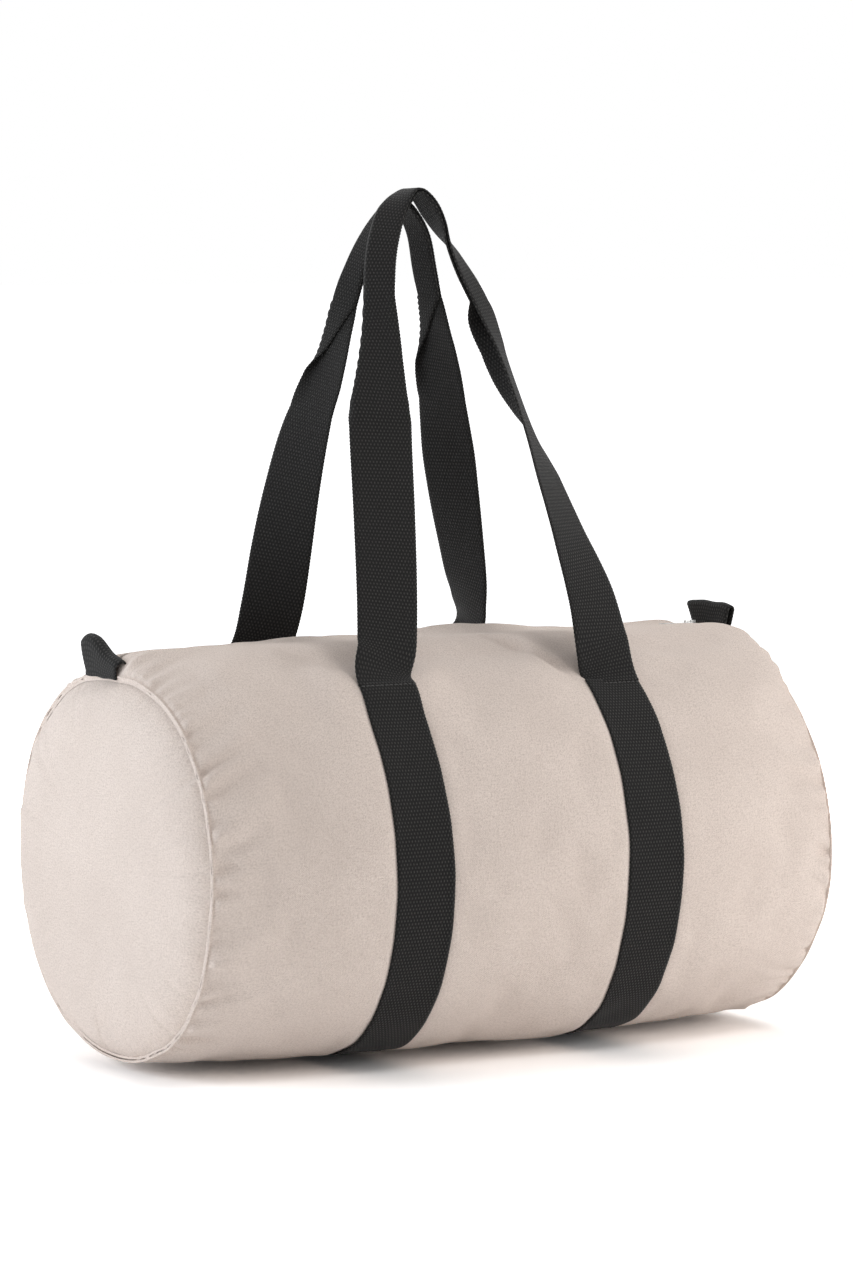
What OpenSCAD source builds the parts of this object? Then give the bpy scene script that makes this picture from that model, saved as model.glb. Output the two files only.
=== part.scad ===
// Canvas barrel bag with two webbing handles, a zip along the top and a pull tab at each end.
// Millimetres, +Z up. The origin is on the floor under the middle of the bag, +X runs along
// the barrel and -Y is the front. The zip line has rolled a little behind the top.

/* [Body] */
// Length of the barrel from end seam to end seam
barrel_length = 452; // [380:1:560]
// Depth of the barrel, front to back, at its middle
barrel_depth = 279; // [240:1:320]
// Diameter of the two round ends
end_diameter = 267; // [230:1:290]
// Height of the filled bag, floor to ridge, without its handles
body_height = 267.5; // [240:0.5:280]
// How far each end panel bulges outwards
end_crown = 4; // [1:0.5:10]
// Thickness of the canvas
canvas = 1; // [0.6:0.1:1.4]

/* [Webbing] */
// Width of the webbing
web_width = 40; // [25:1:50]
// Thickness of the webbing
web = 1.6; // [1:0.1:2]
// Distance between the middles of the two bands
band_spacing = 168; // [130:1:220]
// Angle from the zip line down to the line where each handle is stitched on
stitch_angle = 45; // [40:0.5:52]

/* [Handles] */
// Length of the front handle's arch from its stitch line to its top
front_rise = 330; // [240:1:420]
// Length of the back handle's arch, which stands a little lower
back_rise = 321; // [231:1:411]
// How far the front handle's top lies behind the middle of the bag
front_top = 17; // [5:0.5:20]
// How far the back handle's top lies behind the middle of the bag
back_top = 34.5; // [32:0.5:60]
// How far the back handle's feet bow in over the bag
back_bow = 15; // [0:1:18]
// Width of the webbing where it is folded in half as a grip
grip_width = 20; // [14:1:22]
// Thickness of the folded grip
grip_thickness = 3.6; // [3:0.1:4.5]

/* [Mouth] */
// Angle by which the zip line sits behind the top
zip_roll = 3.5; // [0:0.5:5]
// Distance from the zip line to the fold where each lip turns back
lip_reach = 66; // [50:1:70]
// Distance from each end seam to the end of the lips that open
lip_inset = 48; // [44:1:80]
// Width of the gap between the two hems, which shows the zip
zip_gap = 12; // [11:0.5:16]
// Width of each folded hem
hem_width = 10; // [6:0.5:14]

/* [Zip] */
// Width of each zip tape
tape_width = 13; // [10:0.5:16]
// Thickness of the zip tape
tape = 0.6; // [0.4:0.1:0.8]
// Width of one row of teeth, measured from the middle of the zip
chain_half = 3; // [2.6:0.1:3.2]
// Height of the teeth
tooth_height = 2.4; // [2:0.1:2.8]
// Spacing of the teeth
tooth_pitch = 2.54; // [2:0.02:3]
// Length of the slider
slider_length = 12; // [9:0.5:14]
// Width of the slider
slider_width = 9.4; // [9:0.1:10]
// Thickness of the slider's plates
plate = 1.1; // [0.8:0.1:1.3]
// Length of the puller from its pivot
puller_length = 24; // [16:1:26]
// Width of the puller
puller_width = 6.4; // [5.6:0.1:8]

/* [End tabs] */
// Height of each tab above the end seam
tab_rise = 23; // [14:1:30]
// Thickness of the tab's loop, outside to outside
tab_depth = 8.4; // [7.8:0.1:10]

/* [Seams] */
// Width of the binding on the inside of each end seam
binding_width = 9; // [6:0.5:14]
// Thickness of the binding
binding = 2.4; // [1.6:0.1:3.2]
// Thickness of a stitch where it stands on the webbing
thread = 0.4; // [0.2:0.05:0.5]

/* [Hidden] */

// Colours as the photograph shows them
canvas_colour = [0.86, 0.80, 0.74];
webbing_colour = [0.10, 0.10, 0.10];
tape_colour = [0.66, 0.65, 0.63];
metal_colour = [0.72, 0.72, 0.73];
binding_colour = [0.78, 0.72, 0.65];

// Clearances
seam_fit = 0.1;
moving_gap = 0.4;
slide_gap = 0.25;
cut = 5;

// Smoothness of the round forms
round_fn = 96;
small_fn = 32;
profile_steps = 16;
arch_steps = 48;

half_length = barrel_length / 2;
mid_r = barrel_depth / 2;
end_r = end_diameter / 2;
axis_height = body_height - mid_r;
box_reach = 2 * (mid_r + body_height);
front = -1;
back = 1;
left = -1;
right = 1;

// Radius of the barrel at a place along it: a gentle bulge between the end seams
function barrel_r(x) = mid_r - (mid_r - end_r) * pow(min(abs(x) / half_length, 1), 2);

// Turns what is drawn about the top of the bag back to where the zip line lies
module rolled() {
    translate([0, 0, axis_height])
        rotate([-zip_roll, 0, 0])
            translate([0, 0, -axis_height])
                children();
}

// Solid barrel, larger all round by grow, with its underside flattened where it rests.
// reach makes it run straight on past both ends.
module barrel(grow, reach = 0) {
    bulge = [
        for (i = [0:profile_steps])
            let (x = half_length * (2 * i / profile_steps - 1))
            [barrel_r(x) + grow, x]
    ];
    tail = reach > 0 ? [[end_r + grow, half_length + reach]] : [];
    nose = reach > 0 ? [[end_r + grow, -half_length - reach]] : [];
    whole = half_length + reach;
    intersection() {
        translate([0, 0, axis_height])
            rotate([0, 90, 0])
                rotate_extrude($fn = round_fn)
                    polygon(concat([[0, -whole]], nose, bulge, tail, [[0, whole]]));
        translate([-whole - cut, -box_reach / 2, web - grow])
            cube([2 * (whole + cut), box_reach, box_reach]);
    }
}

// Block from one place along the bag to another, on one side of the zip line, above low
module zip_block(x0, x1, side, y0, y1, low) {
    rolled()
        translate([x0, side > 0 ? y0 : -y1, low])
            cube([x1 - x0, y1 - y0, box_reach]);
}

// Canvas

// The hems are flat underneath, because the tapes that they are sewn to run straight
least_r = min(mid_r, end_r);
hem_base = axis_height + sqrt(pow(least_r, 2) - pow(zip_gap / 2, 2)) - 2.5 * canvas;
lip_half = half_length - lip_inset;
fixed_start = lip_half + 2 * moving_gap;
fixed_end = half_length - canvas - binding - 2 * moving_gap;

module hem(x0, x1, side) {
    intersection() {
        barrel(0);
        zip_block(x0, x1, side, zip_gap / 2, zip_gap / 2 + hem_width, hem_base);
    }
}

module body_panel() {
    color(canvas_colour) {
        difference() {
            barrel(0);
            barrel(-canvas, cut);
            rolled()
                translate([-fixed_start, -lip_reach, axis_height])
                    cube([2 * fixed_start, 2 * lip_reach, box_reach]);
            rolled()
                translate([-half_length - cut, -zip_gap / 2, axis_height])
                    cube([barrel_length + 2 * cut, zip_gap, box_reach]);
        }
        for (side = [front, back]) {
            hem(-fixed_end, -fixed_start, side);
            hem(fixed_start, fixed_end, side);
        }
    }
}

module lip(side) {
    color(canvas_colour) {
        intersection() {
            difference() {
                barrel(0);
                barrel(-canvas, cut);
            }
            zip_block(-lip_half, lip_half, side, zip_gap / 2, lip_reach - moving_gap, axis_height);
        }
        hem(-lip_half, lip_half, side);
    }
}

module front_lip() lip(front);
module back_lip() lip(back);

// Round end with a slight crown, set in the open end of the barrel
module end_panel(side) {
    panel_r = end_r - canvas;
    outer = [
        for (i = [0:profile_steps])
            let (share = i / profile_steps)
            [panel_r * share, end_crown * (1 - pow(share, 2))]
    ];
    inner = [for (i = [profile_steps:-1:0]) outer[i] - [0, canvas]];
    color(canvas_colour)
        intersection() {
            barrel(-canvas - seam_fit, end_crown + cut);
            translate([side * half_length, 0, axis_height])
                rotate([0, side * 90, 0])
                    rotate_extrude($fn = round_fn)
                        polygon(concat(outer, inner));
        }
}

module left_end_panel() end_panel(left);
module right_end_panel() end_panel(right);

// Tape that binds the turned-in edges along the inside of an end seam
module seam_binding(side) {
    seat = half_length - canvas - seam_fit;
    color(binding_colour)
        difference() {
            intersection() {
                barrel(-canvas - seam_fit);
                translate([side > 0 ? seat - binding : -seat, -box_reach / 2, 0])
                    cube([binding, box_reach, box_reach]);
            }
            barrel(-canvas - seam_fit - binding_width, cut);
        }
}

module left_seam_binding() seam_binding(left);
module right_seam_binding() seam_binding(right);

// Webbing

band_x = band_spacing / 2;
foot_r = barrel_r(band_x - web_width / 2);

function stitch_at(side) = side * stitch_angle + zip_roll;

// Band sewn round the bag from the front stitch line, under it, to the back one
module band(side) {
    far = box_reach / 2;
    color(webbing_colour)
        difference() {
            intersection() {
                barrel(web);
                translate([side * band_x - web_width / 2, -box_reach / 2, 0])
                    cube([web_width, box_reach, box_reach]);
            }
            barrel(seam_fit, cut);
            translate([side * band_x - web_width, 0, axis_height])
                rotate([90, 0, 90])
                    linear_extrude(2 * web_width)
                        polygon([
                            [0, 0],
                            [far * tan(stitch_at(back)), far],
                            [far * tan(stitch_at(front)), far]
                        ]);
        }
}

module left_band() band(left);
module right_band() band(right);

stitch_count = 9;
stitch_gap_share = 0.3;
stitch_drop = 5;
stitch_width = 0.9;

// Row of stitches across each top end of a band
module band_stitching(side) {
    pitch = web_width / (stitch_count + 1);
    color(webbing_colour)
        for (end = [front, back], i = [1:stitch_count]) {
            x = side * band_x - web_width / 2 + i * pitch;
            turn = stitch_at(end) + end * atan(stitch_drop / mid_r);
            translate([x, 0, axis_height])
                rotate([-turn, 0, 0])
                    translate([0, 0, barrel_r(x) + web + thread / 2])
                        cube([pitch * (1 - stitch_gap_share), stitch_width, thread], center = true);
        }
}

module left_band_stitching() band_stitching(left);
module right_band_stitching() band_stitching(right);

// Loop of webbing sewn in the end seam across the end of the zip
module end_tab(side) {
    inner_depth = tab_depth - 2 * web;
    seat = axis_height + end_r;
    color(webbing_colour)
        difference() {
            rolled()
                translate([side * (half_length - tab_depth / 2), 0, seat])
                    difference() {
                        tab_form(tab_depth);
                        tab_form(inner_depth, cut);
                    }
            barrel(seam_fit, cut);
        }
}

// Standing slab with a round top, as thick as depth and past both edges by extra.
// The loop's outside and inside share one centre at the top.
module tab_form(depth, extra = 0) {
    top = tab_rise - tab_depth / 2;
    translate([-depth / 2, -web_width / 2 - extra, -cut])
        cube([depth, web_width + 2 * extra, top + cut]);
    translate([0, web_width / 2 + extra, top])
        rotate([90, 0, 0])
            cylinder(d = depth, h = web_width + 2 * extra, $fn = small_fn);
}

module left_end_tab() end_tab(left);
module right_end_tab() end_tab(right);

// Zip

tape_middle = hem_base - seam_fit - tape / 2;
tooth_gap = 0.55;
bead = 0.7;

// Flat tape on one side of the zip, from its row of teeth out under the hem
module zip_tape(x0, x1, side) {
    rolled()
        translate([x0, side > 0 ? chain_half : -chain_half - tape_width, tape_middle - tape / 2])
            cube([x1 - x0, tape_width, tape]);
}

// One row of teeth with the bead that holds them
module tooth_row(x0, x1, side) {
    count = floor((x1 - x0) / tooth_pitch);
    slack = (x1 - x0 - count * tooth_pitch) / 2;
    half_tooth = tooth_pitch / 4;
    tips = [
        for (i = [0:count - 1], corner = [0:3])
            let (
                x = x0 + slack + (i + 0.5) * tooth_pitch,
                over = corner < 2 ? -half_tooth : half_tooth,
                deep = corner == 0 || corner == 3 ? chain_half - bead : tooth_gap
            )
            [x + over, side * deep]
    ];
    rolled()
        translate([0, 0, tape_middle - tooth_height / 2])
            linear_extrude(tooth_height)
                polygon(concat(
                    [[x0, side * chain_half], [x0, side * (chain_half - bead)]],
                    tips,
                    [[x1, side * (chain_half - bead)], [x1, side * chain_half]]
                ));
}

module front_zip_tape() color(tape_colour) zip_tape(-lip_half, lip_half, front);
module back_zip_tape() color(tape_colour) zip_tape(-lip_half, lip_half, back);
module front_zip_teeth() color(metal_colour) tooth_row(-lip_half, lip_half, front);
module back_zip_teeth() color(metal_colour) tooth_row(-lip_half, lip_half, back);

stop_length = 2.4;
tape_tail = 5;
// The slider rests against the top stops at the right and runs to the bottom stop at the left
slider_rest = fixed_end - tape_tail - stop_length - slider_length / 2 - 2 * slide_gap;
slider_far = -fixed_start - slider_length / 2 - moving_gap;
slider_travel = slider_rest - slider_far;

module fixed_tapes(side) {
    for (edge = [front, back])
        zip_tape(side > 0 ? fixed_start : -fixed_end, side > 0 ? fixed_end : -fixed_start, edge);
}

module fixed_teeth(inner, outer) {
    for (edge = [front, back])
        tooth_row(min(inner, outer), max(inner, outer), edge);
}

left_teeth_end = slider_far - slider_length / 2 - slide_gap;
right_teeth_end = slider_rest + slider_length / 2 + slide_gap;

module left_zip_tapes() color(tape_colour) fixed_tapes(left);
module right_zip_tapes() color(tape_colour) fixed_tapes(right);
module left_zip_teeth() color(metal_colour) fixed_teeth(-fixed_start, left_teeth_end);
module right_zip_teeth() color(metal_colour) fixed_teeth(fixed_start, right_teeth_end);

// A pair of crimped stops, one on each tape, past the last teeth of the closed end
module zip_top_stops() {
    color(metal_colour)
        rolled()
            for (edge = [front, back])
                translate([
                    right_teeth_end + seam_fit,
                    edge > 0 ? tooth_gap : -chain_half,
                    tape_middle - tooth_height / 2
                ])
                    cube([stop_length, chain_half - tooth_gap, tooth_height]);
}

// One stop across both rows at the open end
module zip_bottom_stop() {
    color(metal_colour)
        rolled()
            translate([
                left_teeth_end - seam_fit - stop_length,
                -chain_half,
                tape_middle - tooth_height / 2
            ])
                cube([stop_length, 2 * chain_half, tooth_height]);
}

flange = (slider_width - 2 * chain_half) / 2 - slide_gap;
inner_height = tooth_height + 2 * slide_gap;
post_width = 2 * (tooth_gap - slide_gap);
post_length = 3;
bridge_width = 2.2;
bridge_length = 8;
bridge_bar = 0.9;
pin_r = 0.8;
pin_clear = 0.3;
pivot_rise = pin_r + pin_clear;
plate_top = tape_middle + inner_height / 2 + plate;
pivot_height = plate_top + pivot_rise;
bridge_height = 2 * pivot_rise + bridge_bar;

// Two plates round the teeth, joined by a post, with a bridge that holds the puller
module zip_slider() {
    color(metal_colour)
        rolled()
            translate([slider_rest, 0, tape_middle]) {
                for (up = [-1, 1]) {
                    translate([0, 0, up * (inner_height + plate) / 2])
                        cube([slider_length, slider_width, plate], center = true);
                    for (edge = [front, back])
                        slider_flange(up, edge);
                }
                translate([(slider_length - post_length) / 2, 0, 0])
                    cube([post_length, post_width, inner_height + plate], center = true);
                translate([0, 0, plate_top - tape_middle])
                    slider_bridge();
            }
}

// Turned edge of a plate, which stops short of the tape
module slider_flange(up, edge) {
    low = tape / 2 + slide_gap;
    high = inner_height / 2;
    translate([
        -slider_length / 2,
        edge > 0 ? slider_width / 2 - flange : -slider_width / 2,
        up > 0 ? low : -high
    ])
        cube([slider_length, flange, high - low]);
}

module slider_bridge() {
    difference() {
        translate([-bridge_length / 2, -bridge_width / 2, 0])
            cube([bridge_length, bridge_width, bridge_height]);
        translate([0, bridge_width, pivot_rise])
            rotate([90, 0, 0])
                cylinder(r = pin_r + pin_clear, h = 2 * bridge_width, $fn = small_fn);
    }
}

pull_thickness_share = 0.75;
puller_hole_share = 0.5;

// Flat pull with a cross pin in the slider's bridge, lying back along the closed zip
module zip_puller() {
    arm = (puller_width - bridge_width) / 2 - moving_gap;
    eye = bridge_length / 2 + bridge_height / 2;
    thick = 2 * pin_r * pull_thickness_share;
    tip_r = puller_width / 2;
    color(metal_colour)
        rolled()
            translate([slider_rest, 0, pivot_height]) {
                translate([0, puller_width / 2, 0])
                    rotate([90, 0, 0])
                        cylinder(r = pin_r, h = puller_width, $fn = small_fn);
                for (edge = [front, back])
                    translate([-eye, edge > 0 ? puller_width / 2 - arm : -puller_width / 2, -thick / 2])
                        cube([eye, arm, thick]);
                difference() {
                    union() {
                        translate([tip_r - puller_length, -puller_width / 2, -thick / 2])
                            cube([puller_length - tip_r - eye, puller_width, thick]);
                        translate([tip_r - puller_length, 0, -thick / 2])
                            cylinder(r = tip_r, h = thick, $fn = small_fn);
                    }
                    translate([tip_r - puller_length, 0, -thick])
                        cylinder(r = tip_r * puller_hole_share, h = 2 * thick, $fn = small_fn);
                }
            }
}

// Handles

// Each handle turns about the middle of its feet, just clear of the bands' ends
hinge_r = foot_r + web + moving_gap + web / 2;
arch_power = 1.55;
spacing_power = 1.2;
// Turn of the webbing's face, from facing out at the stitch line to lying across at the top
twist_shares = [0, 0.08, 0.17, 0.28, 0.38, 0.5, 0.63, 0.76, 0.88, 1];
top_twist_angle = 90;
// Each foot is cut square along its stitch line, and this share of the arch takes up the change
foot_share = 0.1;
fold_start_share = 0.5;
fold_end_share = 0.74;
bow_peak_share = pow(0.75, 3) / 4;

function between(shares, u) =
    let (place = min(max(u, 0), 1) * (len(shares) - 1), i = min(floor(place), len(shares) - 2))
    shares[i] + (place - i) * (shares[i + 1] - shares[i]);
function ease(u) = let (v = min(max(u, 0), 1)) v * v * (3 - 2 * v);
function folded(u) = ease((u - fold_start_share) / (fold_end_share - fold_start_share));
function mixed(a, b, share) = a + (b - a) * share;

// Centre line of a handle in its own leaning plane: x along the bag, y out of the plane, z up it.
// t runs from -1 at the left foot to 1 at the right foot.
function arch_x(t) = sign(t) * band_x * pow(abs(t), spacing_power);
function arch_z(t, rise) = rise * (1 - pow(abs(t), spacing_power * arch_power));
function arch_y(u, bow, side) = -side * bow * u * pow(1 - u, 3) / bow_peak_share;
function arch_point(t, rise, bow, side) =
    let (z = arch_z(t, rise))
    [arch_x(t), arch_y(z / rise, bow, side), z];

function unit(v) = v / norm(v);

// Four corners of the webbing's section at t, in the leaning plane
function arch_ring(t, rise, bow, side) =
    let (
        step = 1 / arch_steps,
        here = arch_point(t, rise, bow, side),
        u = here[2] / rise,
        before = arch_point(max(t - step, -1), rise, bow, side),
        after = arch_point(min(t + step, 1), rise, bow, side),
        along = unit(mixed([0, 0, -sign(t)], unit(after - before), min(u / foot_share, 1))),
        turn = top_twist_angle * between(twist_shares, u),
        out = [0, side, 0],
        face = unit(out * cos(turn) + cross(along, out) * sin(turn) * side),
        wide = unit(cross(along, face)) * mixed(web_width, grip_width, folded(u)) / 2,
        thick = unit(face) * mixed(web, grip_thickness, folded(u)) / 2
    )
    [here - wide - thick, here + wide - thick, here + wide + thick, here - wide + thick];

module handle(side, rise, top, bow) {
    rings = [for (i = [-arch_steps:2:arch_steps]) each arch_ring(i / arch_steps, rise, bow, side)];
    count = len(rings) / 4;
    walls = [
        for (i = [0:count - 2], j = [0:3])
            let (a = 4 * i + j, b = 4 * i + (j + 1) % 4)
            each [[a, b, b + 4], [a, b + 4, a + 4]]
    ];
    last = 4 * (count - 1);
    caps = [[2, 1, 0], [3, 2, 0], [last, last + 1, last + 2], [last, last + 2, last + 3]];
    turn = stitch_at(side);
    foot = hinge_r * sin(turn);
    color(webbing_colour)
        translate([0, foot, axis_height + hinge_r * cos(turn)])
            rotate([asin((foot - top) / rise), 0, 0])
                polyhedron(rings, concat(walls, caps));
}

module front_handle() handle(front, front_rise, front_top, 0);
module back_handle() handle(back, back_rise, back_top, back_bow);

body_panel();
left_end_panel();
right_end_panel();
left_seam_binding();
right_seam_binding();
left_band();
right_band();
left_band_stitching();
right_band_stitching();
left_end_tab();
right_end_tab();
left_zip_tapes();
right_zip_tapes();
left_zip_teeth();
right_zip_teeth();
zip_top_stops();
zip_bottom_stop();
front_lip();
front_zip_tape();
front_zip_teeth();
back_lip();
back_zip_tape();
back_zip_teeth();
zip_slider();
zip_puller();
front_handle();
back_handle();
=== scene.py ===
"""Looks of a canvas barrel bag with webbing handles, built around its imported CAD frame.

Sizes are in millimetres and become metres where a mesh is made. The frame is the CAD's: the origin is on
the floor under the middle of the bag, +X runs along the barrel, -Y is the front and +Z is up.
"""

import math

import bmesh
import bpy
import numpy as np
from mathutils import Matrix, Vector

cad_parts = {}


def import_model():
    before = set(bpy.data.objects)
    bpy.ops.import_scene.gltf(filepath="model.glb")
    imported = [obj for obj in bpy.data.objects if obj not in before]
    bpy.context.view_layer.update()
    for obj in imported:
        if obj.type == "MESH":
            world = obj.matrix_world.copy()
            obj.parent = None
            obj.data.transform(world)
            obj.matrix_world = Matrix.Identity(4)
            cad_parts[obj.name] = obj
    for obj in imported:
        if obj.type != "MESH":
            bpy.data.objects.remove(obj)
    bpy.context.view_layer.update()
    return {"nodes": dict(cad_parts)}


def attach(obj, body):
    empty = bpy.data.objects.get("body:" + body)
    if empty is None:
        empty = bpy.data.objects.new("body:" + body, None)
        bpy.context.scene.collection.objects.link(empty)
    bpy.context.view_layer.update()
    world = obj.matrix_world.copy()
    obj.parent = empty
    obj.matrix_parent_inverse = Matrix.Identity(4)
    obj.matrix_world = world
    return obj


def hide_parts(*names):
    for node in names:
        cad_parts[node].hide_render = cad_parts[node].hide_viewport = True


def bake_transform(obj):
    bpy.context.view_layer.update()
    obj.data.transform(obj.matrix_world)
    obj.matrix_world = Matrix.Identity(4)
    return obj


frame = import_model()

MM = 0.001
FRONT, BACK = -1, 1
LEFT, RIGHT = -1, 1
SIDE_NAME = {LEFT: "left", RIGHT: "right"}
FACE_NAME = {FRONT: "front", BACK: "back"}

# Barrel, as in the CAD
HALF_LENGTH = 226.0
MIDDLE_R = 139.5
AXIS_HEIGHT = 128.0
END_CROWN = 11.0
CANVAS = 1.0
ZIP_ROLL = 3.5

# Mouth and zip
LIP_HALF = 178.0
LIP_BEND = 98.0
LIP_REACH = 66.0
ZIP_GAP = 12.0
HEM_WIDTH = 10.0
HEM_THICKNESS = 2.5
HEM_TOP = 261.4
SLIT_HALF = 221.8
TAPE_MIDDLE = 258.465
TAPE = 0.6
TAPE_WIDTH = 13.0
CHAIN_HALF = 3.0
TOOTH_HEIGHT = 2.4
TOOTH_PITCH = 2.54
TOOTH_ROOM = 0.7
ROW_END = {LEFT: -197.5, RIGHT: 214.2}

# Webbing
WEB_WIDTH = 40.0
WEB = 1.6
BAND_X = 84.0
STITCH_ANGLE = 45.0
CANVAS_SLIP = 2.6
FRONT_RISE, BACK_RISE = 330.0, 321.0
FRONT_TOP, BACK_TOP = 17.0, 34.5
BACK_BOW = 15.0
ARCH_POWER = 1.55
SPACING_POWER = 1.2
WEAVE_ROW = 2.3
FLOAT_COLUMNS = 18

# Grid steps of the canvas along the barrel and round it, and how high its front edge stands over the zip
GRID = 2.6
GRID_ROUND = 2.0
PLACKET_LIFT = 1.3


def smooth(low, high, value):
    """0 below low, 1 above high, and a smooth step between."""
    share = np.clip((np.asarray(value, float) - low) / (high - low), 0, 1)
    return share * share * (3 - 2 * share)


def mix(a, b, share):
    return a + (b - a) * share


def unit(v):
    v = np.asarray(v, float)
    return v / np.maximum(np.linalg.norm(v, axis=-1, keepdims=True), 1e-12)


def round_table(values, degrees):
    """A smooth closed curve through values, which stand at even steps from -180 degrees."""
    values = np.asarray(values, float)
    count = len(values)
    place = (np.asarray(degrees, float) + 180) / 360 * count
    low = np.floor(place).astype(int)
    t = place - low
    a, b, c, d = (values[(low + k) % count] for k in (-1, 0, 1, 2))
    return b + 0.5 * t * (c - a + t * (2 * a - 5 * b + 4 * c - d + t * (3 * (b - c) + d - a)))


def soft_table(stations, values, at):
    """A curve through values at stations, eased at each one."""
    at = np.asarray(at, float)
    stations, values = np.asarray(stations, float), np.asarray(values, float)
    slopes = np.gradient(values, stations)
    i = np.clip(np.searchsorted(stations, at) - 1, 0, len(stations) - 2)
    step = stations[i + 1] - stations[i]
    t = np.clip((at - stations[i]) / step, 0, 1)
    rise, t2, t3 = values[i + 1] - values[i], t * t, t * t * t
    hump = t3 - 2 * t2 + t
    tail = t3 - t2
    return values[i] + (3 * t2 - 2 * t3) * rise + step * (hump * slopes[i] + tail * slopes[i + 1])


def waves(seed, count, shortest, longest):
    """A smooth random surface over (x, arc) in mm, about 1 high, the same on every run."""
    rng = np.random.default_rng(seed)
    angle = rng.uniform(0, 2 * math.pi, count)
    length = np.exp(rng.uniform(math.log(shortest), math.log(longest), count))
    phase = rng.uniform(0, 2 * math.pi, count)

    def height(x, arc):
        total = 0
        for a, size, p in zip(angle, length, phase):
            total += np.sin(2 * math.pi * (x * math.cos(a) + arc * math.sin(a)) / size + p)
        return total / math.sqrt(count)

    return height


# Canvas shell
# Radii about the barrel's axis every 20 degrees from the bottom, round by the front, the top and the back
MIDDLE_SECTION = [126.6, 130.2, 140.2, 143.8, 143.8, 143.8, 143.2, 141.8, 141.2, 139.5,
                  140.6, 140.2, 139.8, 139.8, 140.2, 140.6, 138.8, 130.2]
LEFT_SECTION = [119.5, 123, 128.4, 131.3, 131.4, 132.3, 133, 130.6, 124.6, 121.4,
                123.8, 127.7, 131.2, 131.8, 131.6, 131.2, 127.6, 122.5]
RIGHT_SECTION = [121.5, 124.2, 127.8, 129.8, 132.6, 131.0, 127.6, 126.6, 127.8, 127.8,
                 129, 130, 132, 133, 133, 132, 129, 124.4]
SIDE_POWER = 3.2
TOP_POWER = {LEFT: 4.5, RIGHT: 34.0}
VALLEY_POWER = 30.0
HEM_HEIGHT = HEM_TOP - AXIS_HEIGHT
HEM_FADE = (17, 42)
HEM_ANGLE = math.degrees(math.atan2(ZIP_GAP / 2, HEM_HEIGHT))
CREASE_ANGLE = math.degrees(math.asin(LIP_REACH / MIDDLE_R))

broad = waves(3, 14, 90, 220)
fine = waves(8, 22, 26, 60)
pucker = waves(5, 26, 9, 24)
gather = waves(12, 22, 22, 60)


def axial_share(x, power):
    return np.minimum(np.abs(x) / HALF_LENGTH, 1) ** power


def off_zip(phi):
    """Distance from the zip line to angle phi on the flat of the hems."""
    return np.tan(np.radians(np.clip(phi, -60, 60))) * HEM_HEIGHT


def bump(x, arc, x0, arc0, wide, tall):
    return np.exp(-((x - x0) / wide) ** 2 - ((arc - arc0) / tall) ** 2)


def fold_line(x, arc, points, width):
    """A fold along a line of (x, arc) points: 1 on the line, fading across width and towards both ends."""
    points = np.asarray(points, float)
    steps = np.linalg.norm(np.diff(points, axis=0), axis=1)
    ends = np.concatenate([[0], np.cumsum(steps)])
    nearest = np.full(np.shape(x), 1e9)
    along = np.zeros(np.shape(x))
    for k, step in enumerate(steps):
        dx, da = (points[k + 1] - points[k]) / step
        t = np.clip((x - points[k, 0]) * dx + (arc - points[k, 1]) * da, 0, step)
        away = np.hypot(x - points[k, 0] - t * dx, arc - points[k, 1] - t * da)
        along = np.where(away < nearest, ends[k] + t, along)
        nearest = np.minimum(away, nearest)
    return np.sin(np.clip(along / ends[-1], 0, 1) * math.pi) ** 0.7 * np.exp(-(nearest / width) ** 2)


def barrel_radius(x, phi):
    """Radius of the outer canvas at x and at angle phi from the zip line, without its folds."""
    theta = phi + ZIP_ROLL
    top = 1 - smooth(32, 62, np.abs(phi))
    side_x = np.where(x < 0, LEFT, RIGHT)
    power = mix(SIDE_POWER, np.where(side_x < 0, TOP_POWER[LEFT], TOP_POWER[RIGHT]), top)
    middle = round_table(MIDDLE_SECTION, theta)
    ring = np.where(side_x < 0, round_table(LEFT_SECTION, theta), round_table(RIGHT_SECTION, theta))
    base = mix(middle, ring, axial_share(x, power))
    flat = HEM_HEIGHT / np.cos(np.radians(np.clip(phi, -60, 60)))
    hem = mix(flat, ring - 1, axial_share(x, VALLEY_POWER))
    return mix(hem, base, smooth(*HEM_FADE, np.abs(off_zip(phi))))


def arc_of(phi):
    return np.radians(phi) * MIDDLE_R


def stitch_phi(side):
    """Where the handles are sewn on. The canvas has slid back a little under them."""
    return side * STITCH_ANGLE + CANVAS_SLIP


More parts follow.
